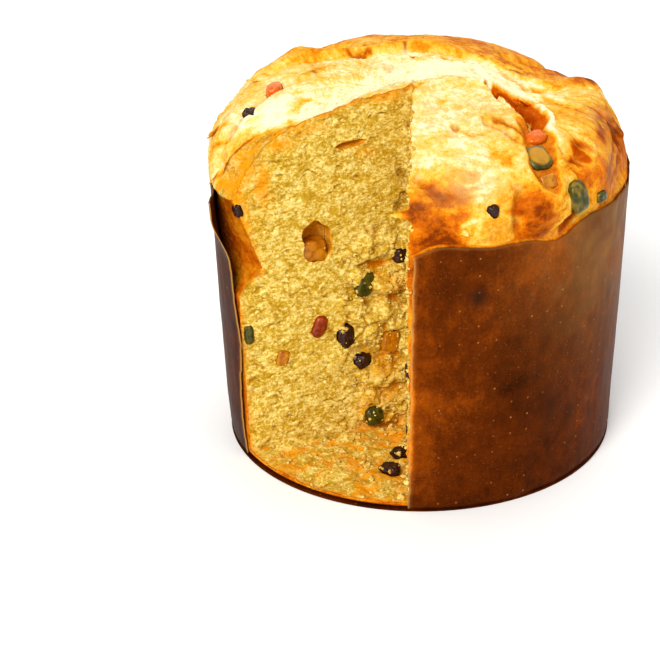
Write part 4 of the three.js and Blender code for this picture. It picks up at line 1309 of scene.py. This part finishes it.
def crumbStarts(rng):  # where each crumb falls from and which way, in millimetres
    places, ways = [], []
    standOff = looseCrumbs["standOff"]
    n = looseCrumbs["onFloor"]
    share = rng.random((n, 2))
    along = between(*looseCrumbs["floorAlong"], share[:, :1] ** 0.8)
    turn = between(loaf["leftTurn"] + 3, loaf["rightTurn"] - 3, share[:, 1:] ** 1.6)
    turn = loaf["leftTurn"] + loaf["rightTurn"] - turn      # thickest beside the right cut
    foot = tip + along * np.hstack(onMap(turn, 1))
    places.append(np.hstack([foot, 0 * along + looseCrumbs["overFloor"]]))
    ways.append(np.tile([0, 0, -1.0], (n, 1)))
    line, out = cuts["left"]["along"], cuts["left"]["out"]
    n = looseCrumbs["onTorn"]
    along, height = (between(*looseCrumbs[key], rng.random((n, 1))) for key in ("tornAlong", "tornHeight"))
    places.append(np.hstack([tip + line * along + out * standOff, height]))
    ways.append(np.tile([-out[0], -out[1], -0.2], (n, 1)))
    for side in cuts:
        line, out = cuts[side]["along"], cuts[side]["out"]
        drawn = rng.random((looseCrumbs["tried"], 2)) * [90, 146] + [0, 3]
        foot = tip + line * drawn[:, :1]
        depth = depthInside(*foot.T, drawn[:, 1])
        chosen = np.flatnonzero((depth > 0.2) & (depth < 2.2))[:looseCrumbs["onRim"][side]]
        places.append(np.column_stack([foot + out * standOff, drawn[:, 1]])[chosen])
        ways.append(np.tile([-out[0], -out[1], 0], (len(chosen), 1)))
    for *_, (origin, axes), size, turn in fruit:
        onFace = any(np.allclose(axes[:2, 2], cut["out"]) for cut in cuts.values())
        n = looseCrumbs["perFruit"] if onFace else 0
        around = 2 * np.pi * rng.random((n, 1))
        reach = (0.82 + 0.3 * rng.random((n, 1))) / 2
        local = np.hstack([reach * size[0] * np.cos(around), reach * size[1] * np.sin(around),
                           0 * reach + size[2] + looseCrumbs["overFruit"]])
        places.append(setInPlace(local, (origin, axes), turn))
        ways.append(np.tile(-axes[:, 2], (n, 1)))
    return np.vstack(places), np.vstack(ways)


def buildCrumbs():
    rng = np.random.default_rng(12)
    scene, graph = bpy.context.scene, bpy.context.evaluated_depsgraph_get()
    small, large = looseCrumbs["small"], looseCrumbs["large"]
    ball = ballPoints(np.arange(8) * np.pi / 4, np.array(looseCrumbs["lifts"]) * degree)
    shapes = []
    for start, way in zip(*crumbStarts(rng)):
        met, place, normal, *_ = scene.ray_cast(
            graph, Vector(start * mm), Vector(way), distance=looseCrumbs["fall"] * mm)
        size = small + (large - small) * rng.random() ** 3
        dents = 1 + 0.35 * rng.standard_normal(ball.shape[:2])
        shape = ball * dents[..., None] * size * (0.7 + 0.6 * rng.random(3))
        if met:
            points, *faces = closedSkin(shape)
            points = points @ spun(360 * rng.random()).T
            shapes.append((points + np.array(place) / mm + np.array(normal) * 0.25 * size, *faces))
    points, quads, triangles = merged(shapes)
    count = len(points)
    values = allFields(count, cut=1.0, warm=0.15, pore=0.2 * rng.random(count),
                       strand=0.6 + 0.4 * rng.random(count))
    piece = newPiece("loose_crumbs", points, quads, triangles, values)
    paint(piece, bread)
    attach(piece, "root")


buildCrumbs()
print("crumbs ready")

# The paper: a stiff brown wall that stops at the notch on both sides, and a round bottom
paper = {
    "rows": 92, "columns": 400, "sheet": 0.5,
    "foot": 1.1,            # height of the wall's lower edge
    "seamTurn": 295.5, "seamLift": 0.35,
    "mapUnit": 100,         # millimetres to one unit of the flat map
    "tones": [(0.0, (58, 23, 2)), (0.38, (96, 43, 4)), (0.72, (142, 70, 6)), (1.0, (206, 118, 12))],
    "dot": (216, 160, 96), "fleck": (210, 160, 110), "shade": (44, 26, 18), "torn": (206, 160, 96),
    "dotStep": 7.2,         # millimetres between the embossed dots
}
paperTones = [  # lighter and darker places: turn, height, amount, width and height in millimetres
    (302, 104, 0.36, 16, 14), (276, 74, -0.12, 14, 18), (302, 62, -0.16, 18, 22),
]
paperShades = [  # dark round marks
    (285.3, 95, 1.0, 3.4, 4.2), (309, 38, 0.5, 5, 8), (318, 33, 0.4, 5, 6),
]


def leftEndAt(height):
    return 207.2 + 2.5 * hump(height - 53, 14) - 1.2 * hump(height - 98, 12)


def rightEndAt(height):
    return -93.1 + 0.014 * height


def blobOnPaper(angle, height, angle0, height0, across, up):  # widths in millimetres
    return hump(turnFrom(angle, angle0) * degree * caseRadius, across) * hump(height - height0, up)


def paperColours(angle, height, row, column):
    # tone runs from dark to light; shade marks the dark spots; torn marks bare fibre on the ragged ends
    tone = 0.38 + 0.16 * layered(angle / 16, height / 26, 6, 38, 4)
    # a bright band along the right cut end, with a broader lighter one beside it, is painted glow of light
    # through the paper; the left side is darkened with painted shade
    tone = tone + 0.75 * hump(turnFrom(angle, 266.9), 1.6) * smooth(2, 30, height)
    tone = tone + 0.16 * hump(turnFrom(angle, 271), 4) - 0.3 * hump(turnFrom(angle, 200), 26)
    # darker towards the bottom, and very slightly on the right: painted shade
    tone = tone - 0.14 * smooth(34, 8, height)
    tone = tone - 0.02 * smooth(320, 342, angle % 360) * smooth(500, 345, angle % 360)
    shade = 0.0
    for angle0, height0, amount, across, up in paperTones:
        tone = tone + amount * blobOnPaper(angle, height, angle0, height0, across, up)
    for angle0, height0, amount, across, up in paperShades:
        shade = shade + amount * blobOnPaper(angle, height, angle0, height0, across, up)
    fromEnd = np.minimum(column, 1 - column) * paper["columns"]
    fromTop = (1 - row) * paper["rows"]
    torn = np.maximum(0.8 * smooth(1.2, 0.2, fromEnd), 0.2 * smooth(1.2, 0.0, fromTop))
    mottled = 0.9 + 0.5 * layered(angle / 5, height / 7, 8, 39, 4)
    torn = np.maximum(torn, 0.34 * mottled * blobOnPaper(angle, height, 331, 110, 36, 42))
    return {key: np.tile(np.clip(array, 0, 1).ravel(), 2)
            for key, array in {"tone": tone, "shade": shade, "torn": torn}.items()}


def paperWall():
    row = np.linspace(0, 1, paper["rows"])[:, None]
    column = np.linspace(0, 1, paper["columns"])[None]
    rough = between(rightEndAt(60), leftEndAt(60), column)
    top = paperTopAt(rough) - 0.7 * ridged(rough / 2.4, 0 * rough, 2, 31) + 0.3
    height = between(paper["foot"], top, row)
    angle = between(rightEndAt(height), leftEndAt(height), column)
    tear = 0.35 * layered(height / 3, 0 * height, 4, 33)
    angle = angle + tear * (smooth(0.985, 1, column) - smooth(0.015, 0, column))
    crinkle = 0.07 * noise(angle / 1.6, height / 18, 3, 35) + 0.22 * layered(angle / 6, height / 20, 4, 36)
    crinkle = crinkle + 0.25 * noise(angle / 2.5, height / 9, 5, 37) * smooth(104, 116, height)
    beyond = turnFrom(angle, paper["seamTurn"])
    seam = paper["seamLift"] * smooth(-0.25, 0.1, beyond) * smooth(9, 5, beyond)
    radius = paperRadiusAt(height) + paperFlareAt(angle, height) + crinkle + seam - 0.15
    radius = radius - 0.4 * smooth(4, 1, height)
    outer, inner = (rounded(angle, radius - inward, height) for inward in (0, paper["sheet"]))
    points, quads = closedSheet(outer, inner)
    piece = newPiece("paper_wall_sheet", points, quads, values=paperColours(angle, height, row, column))
    flat = np.stack([angle * degree * caseRadius, np.broadcast_to(height, angle.shape)], -1).reshape(-1, 2)
    addMap(piece, np.vstack([flat, flat]))
    return piece


def addMap(piece, flat):  # the piece's own UV from its flat places in millimetres
    mesh = piece.data
    corner = np.zeros(len(mesh.loops), np.int32)
    mesh.loops.foreach_get("vertex_index", corner)
    layer = mesh.uv_layers.new(name="flat")
    layer.data.foreach_set("uv", (flat / paper["mapUnit"])[corner].astype(np.float32).ravel())


def paperBottom():
    angle = np.arange(360) * 1.0
    pleat = 0.12 * np.sin(36 * angle * degree) + 0.08 * noise(angle / 3, 0 * angle, 1, 51)
    rings = []
    for share in np.linspace(0.02, 0.985, 30):
        wave = pleat * smooth(0.86, 0.99, share) + 0.05 * layered(angle / 9, 0 * angle + 40 * share, 2, 52)
        rings.append(rounded(angle, caseRadius * share, np.clip(0.08 + 0.4 * wave, 0, 0.3)))
    for inward, height in ((0.2, 0.12), (0.05, 0.4), (0.25, 0.7)):  # the rolled rim
        rings.append(rounded(angle, caseRadius - inward, height + 0 * angle))
    for share in np.linspace(0.985, 0.02, 30):
        wave = pleat * smooth(0.86, 0.99, share)
        rings.append(rounded(angle, caseRadius * share, paperThickness - 0.08 + 0.3 * np.minimum(wave, 0)))
    points, quads, triangles = closedSkin(np.array(rings))
    tone = 0.14 + 0.2 * layered(points[:, 0] / 14, points[:, 1] / 14, 0, 53)
    values = {"tone": tone, "shade": 0 * tone, "torn": 0 * tone}
    piece = newPiece("paper_base_sheet", points, quads, triangles, values)
    addMap(piece, points[:, :2])
    return piece


def paperFinish():
    look = paper
    f = Finish("baking_paper", **{"Specular IOR Level": 0.04, "Specular Tint": (1.0, 0.66, 0.4, 1.0)})
    cloud, fine, grease = f.speckle(38, 5, 0.62), f.speckle(900), f.speckle(150, 4)
    fibre = f.speckle(1.0, vector=f.vectorMath("MULTIPLY", f.object, (420.0, 420.0, 160.0)))
    level = f.field("tone") + (cloud - 0.5) * 0.75 + (grease - 0.5) * 0.35
    level = level + (fibre - 0.5) * 0.25 + (fine - 0.5) * 0.4
    colour = f.ramp(level, look["tones"])
    step = look["dotStep"]
    u, v, _ = f.parts(f.node("ShaderNodeUVMap", {"uv_map": "flat"}).outputs[0])
    nearU, nearV = (((w * look["mapUnit"] / step).fract() - 0.5) * step for w in (u, v))
    away = (nearU * nearU + nearV * nearV).root()
    dot = (1 - away.step(0.2, 0.55)) * f.speckle(90, 3, 0.5).step(0.45, 0.7)
    colour = f.mix(dot * 0.42, colour, look["dot"])
    flecks = f.speckle(1500, 2, 0.5).step(0.66, 0.76) * f.speckle(30, 2, 0.5).step(0.4, 0.65)
    colour = f.mix(flecks * 0.3, colour, look["fleck"])
    colour = f.mix(f.field("shade") * 0.85, colour, look["shade"])
    colour = f.mix(f.field("torn") * 0.8, colour, look["torn"])
    f.set(Base_Color=colour, Roughness=0.42 + (cloud - 0.5) * 0.3 + (fine - 0.5) * 0.1,
          Normal=f.bump(fibre * 0.5 + fine * 0.3 - dot * 0.5, 0.25, 0.6))
    return f


paperStuff = paperFinish()
for piece, node in ((paperWall(), "paper_wall"), (paperBottom(), "paper_base")):
    paint(piece, paperStuff)
    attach(piece, "root")
    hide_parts(node)
print("paper ready")

# Floor, light and camera
studio = {
    "floorTint": (252, 252, 252), "floorReach": 4000,
    "world": 0.56, "worldTint": (1.0, 0.99, 0.975, 1.0),
    # direction the light comes from, spread in degrees, strength, tint
    "key": ((-0.55, -1.45, 1.25), 28, 2.2, (1.0, 0.98, 0.94)),
    "fill": ((1.2, -0.6, 0.9), 60, 0.2, (1.0, 1.0, 1.0)),
    "back": ((0.3, 1.4, 1.1), 60, 0.45, (1.0, 1.0, 1.0)),
    # place in metres, angles in radians, lens in millimetres
    "camera": (0.0, -0.850, 0.470057), "yaw": -0.0443, "pitch": 0.469, "roll": -0.017, "lens": 121.99,
}


def lightFrom(name, way, spread, strength, tone):
    data = bpy.data.lights.new(name, "SUN")
    data.angle, data.energy, data.color = spread * degree, strength, tone
    lamp = bpy.data.objects.new(name, data)
    lamp.location = way
    lamp.rotation_euler = (-Vector(way)).to_track_quat("-Z", "Y").to_euler()
    bpy.context.scene.collection.objects.link(lamp)


def setStudio():
    corners = np.array([[-1, -1, 0], [1, -1, 0], [1, 1, 0], [-1, 1, 0]]) * studio["floorReach"]
    floor = newPiece("floor", corners, [[0, 1, 2, 3]])
    paint(floor, Finish("pale_floor", **{"Base Color": tint(*studio["floorTint"]), "Roughness": 0.7}))
    scene = bpy.context.scene
    world = bpy.data.worlds.new("studio")
    world.use_nodes = True
    background = world.node_tree.nodes["Background"].inputs
    background["Color"].default_value = studio["worldTint"]
    background["Strength"].default_value = studio["world"]
    scene.world = world
    scene.view_settings.view_transform = "Standard"
    scene.view_settings.look = "Medium High Contrast"
    for name in ("key", "fill", "back"):
        lightFrom(name, *studio[name])
    yaw, pitch, roll = studio["yaw"], studio["pitch"], studio["roll"]
    forward = np.array([np.sin(yaw) * np.cos(pitch), np.cos(yaw) * np.cos(pitch), -np.sin(pitch)])
    right = np.array([np.cos(yaw), -np.sin(yaw), 0])
    right = right * np.cos(roll) + np.cross(right, forward) * np.sin(roll)
    up = np.cross(right, forward)
    data = bpy.data.cameras.new("camera")
    data.lens, data.sensor_width, data.clip_end = studio["lens"], 36.0, 20.0
    camera = bpy.data.objects.new("camera", data)
    turned = Matrix(np.column_stack([right, up, -forward]).tolist()).to_4x4()
    camera.matrix_world = Matrix.Translation(studio["camera"]) @ turned
    scene.collection.objects.link(camera)
    scene.camera = camera


setStudio()
print("studio ready")
